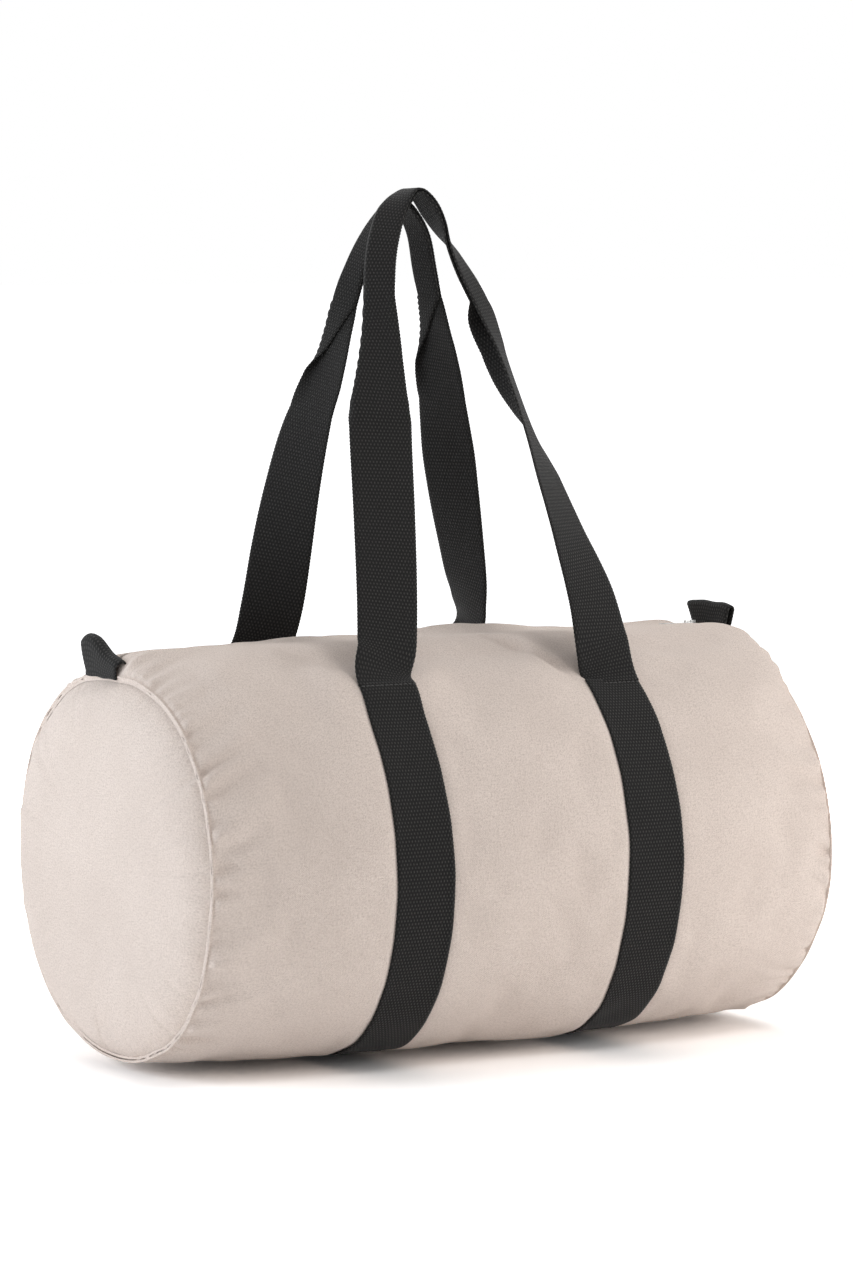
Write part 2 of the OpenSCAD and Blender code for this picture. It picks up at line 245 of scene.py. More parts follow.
# Soft folds as lines of (x, arc) places, with their width and height
DRAG_FOLDS = [
    ([(-128, -34), (-112, -62), (-104, -92)], 7, -2.6),
    ([(-142, -44), (-124, -74), (-106, -104)], 11, 2.2),
    ([(26, -34), (37, -56), (49, -79), (66, -102)], 7, -6.6),
    ([(4, -56), (26, -88), (46, -118)], 12, 2.4),
    ([(118, -58), (132, -72), (150, -78)], 9, -1.8),
    ([(112, -90), (130, -98), (148, -96)], 9, -2.0),
    ([(-222, -88), (-206, -92), (-186, -84)], 7, -1.7),
    ([(-222, -128), (-204, -119), (-182, -102)], 7, -2.0),
    ([(-222, -145), (-203, -138), (-184, -126)], 8, 1.6),
    ([(-223, -166), (-206, -160), (-180, -150)], 6, -2.6),
    ([(-223, -182), (-204, -178), (-176, -172)], 8, 1.8),
    ([(-223, -203), (-208, -199), (-188, -190)], 6, -2.2),
    ([(-223, -232), (-208, -236), (-186, -240)], 7, -1.9),
    ([(-223, -268), (-204, -262), (-178, -250)], 8, 1.7),
    ([(-223, -300), (-206, -292), (-184, -280)], 7, -1.6),
    ([(222, -120), (204, -128), (180, -132)], 8, -1.6),
    ([(222, -178), (206, -172), (184, -160)], 7, 1.5),
    ([(222, -232), (206, -236), (182, -232)], 7, -1.6),
    ([(-60, -108), (-36, -84), (-10, -74)], 12, 1.6),
    ([(-104, 96), (-124, 72), (-148, 60)], 10, -2.2),
    ([(106, 100), (128, 78), (152, 62)], 10, -2.4),
    ([(62, 98), (40, 72), (16, 58)], 9, -2.0),
    ([(222, 132), (204, 124), (178, 112)], 8, -1.8),
    ([(-222, 150), (-204, 158), (-180, 160)], 8, 1.7),
    ([(-222, 214), (-202, 206), (-180, 204)], 7, -1.8),
    ([(222, 208), (204, 214), (180, 212)], 8, 1.7),
]
# How far the canvas is pulled out at each stitch line
STITCH_PULLS = {(LEFT, FRONT): 6.5, (RIGHT, FRONT): -2.0, (LEFT, BACK): 5, (RIGHT, BACK): 5}
# Where the handles hold the canvas up beside the zip: x, arc, width along x, width along the arc, height
RIDGE_LIFTS = [(50, 31, 60, 17, 5.6), (-64, 34, 48, 16, 2.2)]
SETTLED = None
PUCKER_COUNT = 76
CREASE_SNAP = 16


def pucker_list(side_x):
    """Short creases from an end seam into the body: place, slope, width, length and height of each."""
    rng = np.random.default_rng(31 + side_x)
    step = 2 * math.pi * MIDDLE_R / PUCKER_COUNT
    place = (np.arange(PUCKER_COUNT) + rng.uniform(-0.4, 0.4, PUCKER_COUNT)) * step - math.pi * MIDDLE_R
    slope = rng.uniform(-0.15, 0.55, PUCKER_COUNT)
    width = rng.uniform(2.4, 4.4, PUCKER_COUNT)
    long = rng.uniform(0, 1, PUCKER_COUNT) > 0.78
    length = np.where(long, rng.uniform(16, 28, PUCKER_COUNT), rng.uniform(6, 13, PUCKER_COUNT))
    height = rng.uniform(1.6, 4.2, PUCKER_COUNT) * np.where(rng.uniform(0, 1, PUCKER_COUNT) < 0.72, -1, 0.8)
    return list(zip(place, slope, width, length, height))


PUCKERS = {side_x: pucker_list(side_x) for side_x in (LEFT, RIGHT)}


def seam_puckers(side_x, inset, arc):
    """The creases at a distance in from the seam, with the groove beside it."""
    total = 0.25 * pucker(side_x * 40 + inset * 0.3, arc) * np.exp(-inset / 9)
    for place, slope, width, length, height in PUCKERS[side_x]:
        off = (arc - place - slope * inset) / (width * (1 + inset / 40))
        crease = np.exp(-off ** 2) + off * np.exp(-off ** 2 / 1.5)
        total += height * crease * np.exp(-inset / length)
    return total * smooth(0, 4.5, inset) - 1.6 * np.exp(-(inset / 2.4) ** 2)


def canvas_folds(x, phi):
    """How far the folds and puckers push the canvas outwards."""
    arc = arc_of(phi)
    off_floor = smooth(0, 26, 180 - np.abs(phi + ZIP_ROLL))
    off_top = smooth(24, 44, np.abs(phi))
    calm = off_floor * off_top
    push = 1.5 * broad(x, arc) * calm * (1 - axial_share(x, 4) * 0.5)
    push += 0.28 * fine(x, arc) * calm
    beside = 1.0
    for (side_x, side_y), height in STITCH_PULLS.items():
        off_x, off_arc = x - side_x * BAND_X, arc - arc_of(stitch_phi(side_y))
        push += height * np.exp(-(off_x / 46) ** 4 - (off_arc / 20) ** 2)
        beside = beside * (1 - np.exp(-(off_x / 29) ** 6 - (off_arc / 24) ** 4))
    for x0, arc0, wide, tall, height in RIDGE_LIFTS:
        push += height * bump(x, arc, x0, arc0, wide, tall)
    for side_x in (LEFT, RIGHT):
        inset = np.clip(HALF_LENGTH - side_x * x, 0, None)
        soft = 0.8 * gather(side_x * 90 + inset * 0.22, arc + 0.35 * inset) * np.exp(-inset / 30)
        push += seam_puckers(side_x, inset, arc) * off_floor + soft * smooth(0, 12, inset) * calm
        wide_band = 1 - smooth(WEB_WIDTH / 2 - 4, WEB_WIDTH / 2 + 5, np.abs(x - side_x * BAND_X))
        below = smooth(STITCH_ANGLE - 2, STITCH_ANGLE + 6, np.abs(phi))
        push -= 1.1 * wide_band * below
        beside = beside * (1 - wide_band * below)
    free = mix(0.12, 1.0, beside)
    for points, width, height in DRAG_FOLDS:
        push += height * fold_line(x, arc, points, width) * free
    if SETTLED is not None:
        push += SETTLE_SHARE * SETTLED(x, phi) * off_floor * free
    depth = off_zip(-phi)
    placket = smooth(0, 4, depth) * (1 - smooth(12, 34, depth))
    return push + PLACKET_LIFT * placket * (1 - smooth(SLIT_HALF - 6, SLIT_HALF + 3, np.abs(x)))


def canvas_point(x, phi, folds=True):
    """Place of the outer canvas. It passes exactly through the two lines on which the lips turn."""
    x, phi = np.broadcast_arrays(np.asarray(x, float), np.asarray(phi, float))
    r = barrel_radius(x, phi)
    if folds:
        r = r + canvas_folds(x, phi)
    on_lips = 1 - smooth(LIP_HALF, LIP_HALF + 20, np.abs(x))
    for side in (FRONT, BACK):
        crease = side * CREASE_ANGLE
        there = barrel_radius(x, np.full(np.shape(x), crease))
        if folds:
            there = there + canvas_folds(x, np.full(np.shape(x), crease))
        r = r - (there - MIDDLE_R) * np.exp(-(arc_of(phi - crease) / CREASE_SNAP) ** 2) * on_lips
    theta = np.radians(phi + ZIP_ROLL)
    return np.stack([x, r * np.sin(theta), AXIS_HEIGHT + r * np.cos(theta)], -1)


def lines(stops, step):
    """Grid lines through every stop, at most step apart."""
    parts = [np.linspace(a, b, max(1, math.ceil((b - a) / step)) + 1)[:-1]
             for a, b in zip(stops, stops[1:])]
    return np.concatenate(parts + [[stops[-1]]])


def grid_normals(points, wrap=False):
    """Outward normals of a grid of points over (x, phi)."""
    along = np.gradient(points, axis=0)
    if wrap:
        across = np.roll(points, -1, 1) - np.roll(points, 1, 1)
    else:
        across = np.gradient(points, axis=1)
    return unit(np.cross(along, across))


def new_object(name, vertices, faces, material, uv=None, normals=None, smooth_shade=True):
    """A mesh object from millimetre points, its faces turned outwards.

    uv is per face corner, and normals are per vertex.
    """
    mesh = bpy.data.meshes.new(name)
    mesh.from_pydata((np.asarray(vertices, float) * MM).tolist(), [], [list(map(int, f)) for f in faces])
    mesh.polygons.foreach_set("use_smooth", [smooth_shade] * len(mesh.polygons))
    if uv is not None:
        layer = mesh.uv_layers.new(name="weave")
        layer.data.foreach_set("uv", np.asarray(uv, np.float32).ravel())
    turned = bmesh.new()
    turned.from_mesh(mesh)
    bmesh.ops.recalc_face_normals(turned, faces=turned.faces)
    turned.to_mesh(mesh)
    turned.free()
    mesh.update()
    if normals is not None:
        mesh.normals_split_custom_set_from_vertices(np.asarray(normals, float).tolist())
    obj = bpy.data.objects.new(name, mesh)
    bpy.context.scene.collection.objects.link(obj)
    mesh.materials.append(material)
    return obj


def shell(name, outer, normals, thickness, cells, material, uv_grid, wrap=False, capped=False):
    """A closed solid under a grid of outer points, of the cells that are kept, with a rim round its edges.

    Its last row may be a small ring that is closed instead.
    """
    rows, columns = outer.shape[:2]
    inner = outer - normals * np.asarray(thickness)[..., None]
    column_count = columns - 1 if wrap else columns
    across = cells.shape[1]

    def index(i, j, layer):
        return (layer * rows + i) * columns + (j % column_count)

    faces, corners = [], []
    ii, jj = np.nonzero(cells)
    kept = set(zip(ii.tolist(), jj.tolist()))
    for i, j in zip(ii.tolist(), jj.tolist()):
        ring = [(i, j), (i, j + 1), (i + 1, j + 1), (i + 1, j)]
        faces.append([index(a, b, 0) for a, b in reversed(ring)])
        corners.extend(uv_grid[a, b] for a, b in reversed(ring))
        faces.append([index(a, b, 1) for a, b in ring])
        corners.extend(uv_grid[a, b] for a, b in ring)
        for side, (a, b) in enumerate(((i - 1, j), (i, j + 1), (i + 1, j), (i, j - 1))):
            if (a, b % across if wrap else b) in kept or (capped and a == rows - 1):
                continue
            one, two = ring[side], ring[(side + 1) % 4]
            faces.append([index(*two, 0), index(*one, 0), index(*one, 1), index(*two, 1)])
            corners.extend(uv_grid[p] for p in (two, one, one, two))
    points = np.concatenate([outer.reshape(-1, 3), inner.reshape(-1, 3)])
    point_normals = np.concatenate([normals.reshape(-1, 3), -normals.reshape(-1, 3)])
    used, where = np.unique(np.concatenate([np.asarray(f) for f in faces]), return_inverse=True)
    faces = where.reshape(-1, 4).tolist()
    points, point_normals = points[used], point_normals[used]
    if capped:
        for layer in (0, 1):
            ring = [int(np.searchsorted(used, index(rows - 1, j, layer))) for j in range(column_count)]
            middle = len(points)
            out = unit(point_normals[ring].mean(0, keepdims=True))
            points = np.concatenate([points, points[ring].mean(0, keepdims=True)])
            point_normals = np.concatenate([point_normals, out])
            for j in range(column_count):
                k = (j + 1) % column_count
                faces.append([ring[j], ring[k], middle])
                corners.extend((uv_grid[rows - 1, j], uv_grid[rows - 1, k], np.zeros(2)))
    return new_object(name, points, faces, material, np.array(corners), point_normals)


def tube(count, around):
    """The quads between neighbours of count rings of points, as (ring, place) pairs."""
    return [[(i, j), (i, (j + 1) % around), (i + 1, (j + 1) % around), (i + 1, j)]
            for i in range(count - 1) for j in range(around)]


def closed_tube(base, count, around):
    """Faces of a tube whose rings of points start at base, with both ends closed."""
    faces = [[base + a * around + b for a, b in quad] for quad in tube(count, around)]
    last = base + (count - 1) * around
    return faces + [list(range(base, base + around)), list(range(last, last + around))]


def dress(piece, body, node):
    """Lets a piece ride on a body and stand for a CAD node."""
    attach(piece, body)
    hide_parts(node)


# Materials


class Tree:
    """Builds the nodes of a material or of the world."""

    def __init__(self, owner):
        owner.use_nodes = True
        self.owner = owner
        self.nodes = owner.node_tree.nodes
        self.links = owner.node_tree.links

    def put(self, socket, value):
        if isinstance(value, bpy.types.NodeSocket):
            self.links.new(value, socket)
        elif isinstance(value, (tuple, list)) and len(value) == 3 and socket.type == "RGBA":
            socket.default_value = (*value, 1)
        else:
            socket.default_value = value

    def node(self, kind, output=0, settings=None, **inputs):
        made = self.nodes.new(kind)
        for key, value in (settings or {}).items():
            setattr(made, key, value)
        for key, value in inputs.items():
            self.put(made.inputs[key.replace("_", " ")], value)
        return made.outputs[output]

    def math(self, operation, a, b=0.0, c=0.0):
        made = self.nodes.new("ShaderNodeMath")
        made.operation = operation
        for socket, value in zip(made.inputs, (a, b, c)):
            self.put(socket, value)
        return made.outputs[0]

    def add(self, a, b):
        return self.math("ADD", a, b)

    def mul(self, a, b):
        return self.math("MULTIPLY", a, b)

    def sine(self, value, pitch):
        return self.math("SINE", self.mul(value, 2 * math.pi / pitch))

    def from_middle(self, value):
        """How far a value is from the middle of its unit step."""
        return self.math("ABSOLUTE", self.math("SUBTRACT", self.math("FRACT", value), 0.5))

    def seen(self):
        """1 for the camera's rays, also by way of metal or glass."""
        path = self.nodes.new("ShaderNodeLightPath").outputs
        either = self.math("MAXIMUM", path["Is Glossy Ray"], path["Is Transmission Ray"])
        return self.math("MAXIMUM", path["Is Camera Ray"], either)

    def weave(self):
        """The flat place of the cloth in mm, and its two parts."""
        place = self.node("ShaderNodeUVMap", settings={"uv_map": "weave"})
        split = self.nodes.new("ShaderNodeSeparateXYZ")
        self.links.new(place, split.inputs[0])
        return place, split.outputs[0], split.outputs[1]

    def noise(self, vector, scale, detail, rough):
        return self.node("ShaderNodeTexNoise", Vector=vector, Scale=scale, Detail=detail, Roughness=rough)

    def scaled(self, vector, x, y):
        return self.node("ShaderNodeMapping", Vector=vector, Scale=(x, y, 1.0))

    def turned(self, vector, degrees, x, y):
        spun = self.node("ShaderNodeMapping", Vector=vector, Rotation=(0, 0, math.radians(degrees)))
        return self.scaled(spun, x, y)

    def span(self, value, low, high, new_low=0.0, new_high=1.0):
        made = self.nodes.new("ShaderNodeMapRange")
        made.interpolation_type = "SMOOTHSTEP"
        for socket, v in zip(made.inputs, (value, low, high, new_low, new_high)):
            self.put(socket, v)
        return made.outputs[0]

    def blend(self, share, a, b):
        made = self.nodes.new("ShaderNodeMix")
        made.data_type = "RGBA"
        for index, value in ((0, share), (6, a), (7, b)):
            self.put(made.inputs[index], value)
        return made.outputs[2]

    def bump(self, height, distance, strength):
        return self.node("ShaderNodeBump", Strength=strength, Distance=distance, Height=height)

    def finish(self, **inputs):
        for key, value in inputs.items():
            self.put(self.nodes["Principled BSDF"].inputs[key.replace("_", " ")], value)
        return self.owner


def canvas_material(name, light, dark, fleck_share=1.0):
    """Unbleached cotton twill: fine slanted ribs, thick and thin threads, and seed flecks."""
    t = Tree(bpy.data.materials.new(name))
    place, across, along = t.weave()
    ribs = t.sine(t.add(across, along), 1.1)
    cross = t.sine(t.math("SUBTRACT", across, along), 0.9)
    twill = t.add(t.mul(ribs, 0.6), t.mul(cross, 0.3))
    warp = t.noise(t.scaled(place, 1.7, 0.12), 1.0, 3, 0.65)
    weft = t.noise(t.scaled(place, 0.12, 1.7), 1.0, 3, 0.65)
    threads = t.add(warp, weft)
    grain = t.noise(t.scaled(place, 0.95, 0.95), 1.0, 3, 0.8)
    slant = t.noise(t.turned(place, 45, 1.5, 0.45), 1.0, 2, 0.6)
    cloud = t.noise(t.scaled(place, 0.016, 0.016), 1.0, 3, 0.55)
    shade = t.add(t.mul(threads, 0.22), t.mul(grain, 0.80))
    shade = t.add(t.add(shade, t.mul(slant, 0.44)), t.mul(twill, 0.05))
    colour = t.blend(t.span(shade, 0.62, 0.98), dark, light)
    colour = t.blend(t.span(cloud, 0.3, 0.7, 0.0, 0.22), colour, dark)
    flecks = t.noise(t.scaled(place, 0.42, 0.55), 1.0, 4, 0.75)
    spots = t.span(flecks, 0.735, 0.79, 0.0, 0.5 * fleck_share)
    colour = t.blend(spots, colour, (0.36, 0.25, 0.16))
    height = t.add(t.add(t.mul(twill, 0.5), t.mul(threads, 1.1)), t.mul(grain, 0.9))
    return t.finish(Base_Color=colour, Roughness=0.92, Normal=t.bump(height, 0.0003, 0.8), Sheen_Weight=0.1,
                    Sheen_Roughness=0.6, Specular_IOR_Level=0.2)


def webbing_material(name):
    """Black cotton webbing: rows of short floats, each row half a float over from the last, with painted
    highlights on the floats.
    """
    t = Tree(bpy.data.materials.new(name))
    place, across, along = t.weave()
    row = t.math("DIVIDE", along, WEAVE_ROW)
    shift = t.mul(t.math("FLOORED_MODULO", t.math("FLOOR", row), 2.0), 0.5)
    column = t.add(t.math("DIVIDE", across, WEB_WIDTH / FLOAT_COLUMNS), shift)
    off_column, off_row = t.mul(t.from_middle(column), 1.25), t.mul(t.from_middle(row), 0.9)
    far = t.math("SQRT", t.add(t.math("POWER", off_column, 2.0), t.math("POWER", off_row, 2.0)))
    float_dot = t.span(far, 0.38, 0.14)
    fuzz = t.noise(t.scaled(place, 1.3, 1.3), 1.0, 3, 0.7)
    # The float tops are painted lighter than the black yarn: a painted highlight where light catches them.
    painted_float_highlight = t.mul(float_dot, t.span(fuzz, 0.25, 0.75, 0.45, 1.0))
    colour = t.blend(painted_float_highlight, (0.0050, 0.0046, 0.0043), (0.050, 0.047, 0.044))
    lint = t.noise(t.scaled(place, 0.30, 0.36), 1.0, 4, 0.8)
    colour = t.blend(t.span(lint, 0.80, 0.83, 0.0, 0.6), colour, (0.4, 0.38, 0.36))
    height = t.add(float_dot, t.mul(t.sine(across, 1.1), 0.12))
    return t.finish(Base_Color=colour, Roughness=0.82, Normal=t.bump(height, 0.00035, 0.8),
                    Sheen_Weight=0.05, Sheen_Roughness=0.5, Specular_IOR_Level=0.2)


def thread_material(name, colour, dark):
    """Twisted sewing thread, darker in the grooves of its twist as painted shade."""
    t = Tree(bpy.data.materials.new(name))
    place = t.node("ShaderNodeTexCoord", output=3)
    twist = t.node("ShaderNodeTexWave", Vector=place, Scale=900.0, Distortion=2.0)
    # The grooves of the twist are painted in the dark colour: painted shade between the plies.
    shade = t.blend(t.span(twist, 0.1, 0.9), dark, colour)
    return t.finish(Base_Color=shade, Roughness=0.7, Normal=t.bump(twist, 0.0001, 0.6),
                    Sheen_Weight=0.1, Specular_IOR_Level=0.3)


def tape_material(name):
    """Woven zip tape with fine lengthwise ribs, its grooves painted darker as shade."""
    t = Tree(bpy.data.materials.new(name))
    _, along, across = t.weave()
    picks = t.sine(t.add(along, t.mul(across, 0.7)), 0.7)
    height = t.add(t.sine(across, 1.0), t.mul(picks, 0.5))
    # Colour follows the rib height: painted shade in the grooves between the ribs, lighter on their tops.
    colour = t.blend(t.span(height, -1.2, 1.2), (0.30, 0.29, 0.27), (0.52, 0.51, 0.48))
    return t.finish(Base_Color=colour, Roughness=0.85, Normal=t.bump(height, 0.0002, 0.7), Sheen_Weight=0.1)


def metal_material(name, light, dark, rough):
    """Plated metal with faint tumbling marks."""
    t = Tree(bpy.data.materials.new(name))
    place = t.node("ShaderNodeTexCoord", output=3)
    marks = t.noise(place, 900.0, 4, 0.6)
    stains = t.noise(place, 160.0, 3, 0.6)
    colour = t.blend(t.span(stains, 0.35, 0.75), light, dark)
    roughness = t.span(marks, 0.3, 0.7, rough, rough + 0.16)
    return t.finish(Base_Color=colour, Metallic=1.0, Roughness=roughness,
                    Normal=t.bump(marks, 0.00003, 0.4))


CANVAS_MAT = canvas_material("canvas", (0.885, 0.767, 0.692), (0.63, 0.523, 0.459))
WEB_MAT = webbing_material("webbing")
BLACK_THREAD = thread_material("black_thread", (0.085, 0.082, 0.08), (0.03, 0.029, 0.028))
TAPE_MAT = tape_material("zip_tape")
TOOTH_MAT = metal_material("zip_teeth", (0.52, 0.51, 0.50), (0.32, 0.31, 0.30), 0.28)
SLIDER_MAT = metal_material("zip_metal", (0.50, 0.50, 0.49), (0.30, 0.30, 0.29), 0.24)
BINDING_MAT = canvas_material("binding", (0.70, 0.63, 0.55), (0.52, 0.45, 0.38), 0.4)

# Grid on which the canvas settles as cloth, and the farthest that a point may move
SIM_ROWS, SIM_COLUMNS = 71, 132
SIM_FRAMES = 20
SETTLE_CAP = 5.5
SETTLE_SHARE = 0.9
CLOTH = dict(quality=6, mass=0.2, air_damping=4, tension_stiffness=30, compression_stiffness=30,
             shear_stiffness=12, bending_stiffness=0.6, use_pressure=True, uniform_pressure_force=3.0,
             vertex_group_mass="held", vertex_group_shrink="slack", shrink_min=-0.006, shrink_max=-0.055)


def gridded(table):
    """A smooth surface over (x, phi) through a table of evenly spaced values, which wraps round in phi."""
    rows, columns = table.shape

    def weights(t):
        middle = (3 * t ** 3 - 6 * t * t + 4) / 6, (-3 * t ** 3 + 3 * t * t + 3 * t + 1) / 6
        return (1 - t) ** 3 / 6, *middle, t ** 3 / 6

    def value(x, phi):
        u = (x + HALF_LENGTH) / (2 * HALF_LENGTH) * (rows - 1)
        v = (phi + 180) / 360 * columns
        i = np.clip(np.floor(u).astype(int), 0, rows - 2)
        j = np.floor(v).astype(int)
        total = 0
        for a, share_a in enumerate(weights(np.clip(u - i, 0, 1))):
            for b, share_b in enumerate(weights(v - j)):
                row = np.clip(i + a - 1, 0, rows - 1)
                total += share_a * share_b * table[row, (j + b - 1) % columns]
        return total

    return value


def settle():
    """Lets the canvas settle as cloth with air in it, held at its seams, bands, zip and floor.

    The cloth is cut a little large near the seams, as gathered canvas is. Returns how far it moved
    outwards.
    """
    x = np.linspace(-HALF_LENGTH, HALF_LENGTH, SIM_ROWS)
    phi = np.linspace(-180, 180, SIM_COLUMNS + 1)[:-1]
    gx, gp = np.meshgrid(x, phi, indexing="ij")
    start = canvas_point(gx, gp)
    outward = grid_normals(start, wrap=True)
    count = gx.size
    vertices = start.reshape(-1, 3).tolist()
    vertices += [[end * HALF_LENGTH, 0, AXIS_HEIGHT] for end in (LEFT, RIGHT)]
    faces = [[a * SIM_COLUMNS + b for a, b in (k, j, m, n)] for j, k, n, m in tube(SIM_ROWS, SIM_COLUMNS)]
    last = (SIM_ROWS - 1) * SIM_COLUMNS
    for j in range(SIM_COLUMNS):
        k = (j + 1) % SIM_COLUMNS
        faces.append([count, j, k])
        faces.append([count + 1, last + k, last + j])
    cloth_obj = new_object("settling", vertices, faces, CANVAS_MAT)
    held = np.abs(gx) > HALF_LENGTH - 1
    held |= np.abs(gp) < HEM_ANGLE + 6
    held |= (np.abs(np.abs(gx) - BAND_X) < WEB_WIDTH / 2 - 2) & (np.abs(gp) > STITCH_ANGLE - 2)
    held |= start[..., 2] < 4
    held = np.concatenate([held.ravel(), [True, True]])
    pinned = cloth_obj.vertex_groups.new(name="held")
    pinned.add(np.nonzero(held)[0].tolist(), 1.0, "REPLACE")
    slack = cloth_obj.vertex_groups.new(name="slack")
    near_seam = np.exp(-(HALF_LENGTH - np.abs(gx)) / 34).ravel()
    near_stitch = sum(bump(gx, arc_of(gp), side_x * BAND_X, arc_of(stitch_phi(side_y)), 60, 40)
                      for side_x, side_y in STITCH_PULLS).ravel()
    share = np.clip(near_seam + 0.6 * near_stitch, 0, 1)
    for index in range(count):
        slack.add([index], float(share[index]), "REPLACE")
    modifier = cloth_obj.modifiers.new("cloth", "CLOTH")
    settings = modifier.settings
    for key, value in CLOTH.items():
        setattr(settings, key, value)
    settings.effector_weights.gravity = 0
    modifier.collision_settings.use_collision = False
    modifier.point_cache.frame_end = SIM_FRAMES + 1
    scene = bpy.context.scene
    for step in range(1, SIM_FRAMES + 1):
        scene.frame_set(step)
    result = cloth_obj.evaluated_get(bpy.context.evaluated_depsgraph_get())
    moved = np.empty(len(result.data.vertices) * 3, np.float32)
    result.data.vertices.foreach_get("co", moved)
    moved = moved.reshape(-1, 3)[:count].astype(float) / MM
    bpy.data.objects.remove(cloth_obj, do_unlink=True)
    scene.frame_set(1)
    push = ((moved.reshape(start.shape) - start) * outward).sum(-1)
    push = SETTLE_CAP * np.tanh(push / SETTLE_CAP)
    return gridded(push)


SETTLED = settle()

# Grid lines of the canvas, through every line that a piece is cut on
X_STOPS = [LIP_BEND, LIP_HALF, SLIT_HALF - 2, HALF_LENGTH - 3, HALF_LENGTH - 1.2, HALF_LENGTH]
X_LINES = lines([-x for x in reversed(X_STOPS)] + X_STOPS, GRID)
PHI_LINES = lines([-180, -CREASE_ANGLE, -HEM_ANGLE, HEM_ANGLE, CREASE_ANGLE, 180],
                  math.degrees(GRID_ROUND / MIDDLE_R))
GRID_X, GRID_PHI = np.meshgrid(X_LINES, PHI_LINES, indexing="ij")
CELL_X = (X_LINES[:-1] + X_LINES[1:])[:, None] / 2 + 0 * PHI_LINES[None, :-1]
CELL_PHI = (PHI_LINES[:-1] + PHI_LINES[1:])[None, :] / 2 + 0 * X_LINES[:-1, None]
CANVAS_UV = np.stack([GRID_X, arc_of(GRID_PHI)], -1)

CANVAS_POINTS = canvas_point(GRID_X, GRID_PHI)


def canvas_normals(points):
    full = grid_normals(points[:, :-1], wrap=True)
    return np.concatenate([full, full[:, :1]], 1)


CANVAS_NORMALS = canvas_normals(CANVAS_POINTS)
HEM_SHARE = 1 - smooth(HEM_WIDTH - 1, HEM_WIDTH + 0.6,
                       np.abs(arc_of(GRID_PHI)) * HEM_HEIGHT / MIDDLE_R - ZIP_GAP / 2)
CANVAS_THICKNESS = mix(CANVAS, HEM_THICKNESS + PLACKET_LIFT * (GRID_PHI < 0),
                       HEM_SHARE * (np.abs(GRID_X) < HALF_LENGTH - 3))


def part_of_canvas(name, cells, wrap=False):
    """The piece of the canvas over the cells that are kept."""
    rows, columns = np.nonzero(cells.any(1))[0], np.nonzero(cells.any(0))[0]
    a, b = slice(rows[0], rows[-1] + 2), slice(columns[0], columns[-1] + 2)
    return shell(name, CANVAS_POINTS[a, b], CANVAS_NORMALS[a, b], CANVAS_THICKNESS[a, b],
                 cells[rows[0]:rows[-1] + 1, columns[0]:columns[-1] + 1], CANVAS_MAT, CANVAS_UV[a, b],
                 wrap)


def lip_pieces(side):
    """The canvas of one lip: its middle swings with the lip, and its two end pieces are only baked in
    place.
    """
    face = FACE_NAME[side]
    of_lip = (side * CELL_PHI > HEM_ANGLE) & (side * CELL_PHI < CREASE_ANGLE) & (np.abs(CELL_X) < LIP_HALF)
    middle = part_of_canvas(f"{face}_lip_canvas", of_lip & (np.abs(CELL_X) < LIP_BEND))
    dress(middle, f"{face}_lip", f"{face}_lip")
    for end in (LEFT, RIGHT):
        piece = part_of_canvas(f"{face}_lip_canvas_{SIDE_NAME[end]}", of_lip & (end * CELL_X > LIP_BEND))
        lip_blend(piece)


def lip_blend(piece):
    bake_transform(piece)


in_mouth = (np.abs(CELL_X) < LIP_HALF) & (np.abs(CELL_PHI) < CREASE_ANGLE)
in_slit = (np.abs(CELL_X) < SLIT_HALF) & (np.abs(CELL_PHI) < HEM_ANGLE)
body = part_of_canvas("body_canvas", ~(in_mouth | in_slit), wrap=True)
dress(body, "bag", "body_panel")
for face_side in (FRONT, BACK):
    lip_pieces(face_side)


# End panels
RIM_PROFILE = [(-2.6, -1.3), (-0.8, -1.25), (0.8, -1.1), (1.4, -0.5), (1.2, 0.15), (0.5, 0.3), (-0.4, -0.1),
               (-1.1, -0.9), (-2.2, -1.3)]
DISC_RINGS = 44
# Dents of each end as (y, z from the axis, their two widths, depth) in mm
DISC_DENTS = {
    LEFT: [(-121, 58, 4, 16, -1.6), (-108, 84, 9, 7, -1.0), (-6, -98, 10, 7, -2.2), (-26, -112, 12, 5, 1.6),
           (14, -108, 9, 7, 1.4), (-96, -20, 9, 34, -0.9), (-60, -70, 34, 12, 0.9), (52, 88, 20, 10, 0.9)],
    RIGHT: [(-60, -96, 16, 9, -1.6), (70, -84, 14, 10, -1.4), (96, 40, 8, 24, -1.0),
            (-100, 30, 8, 26, -1.0)],
}


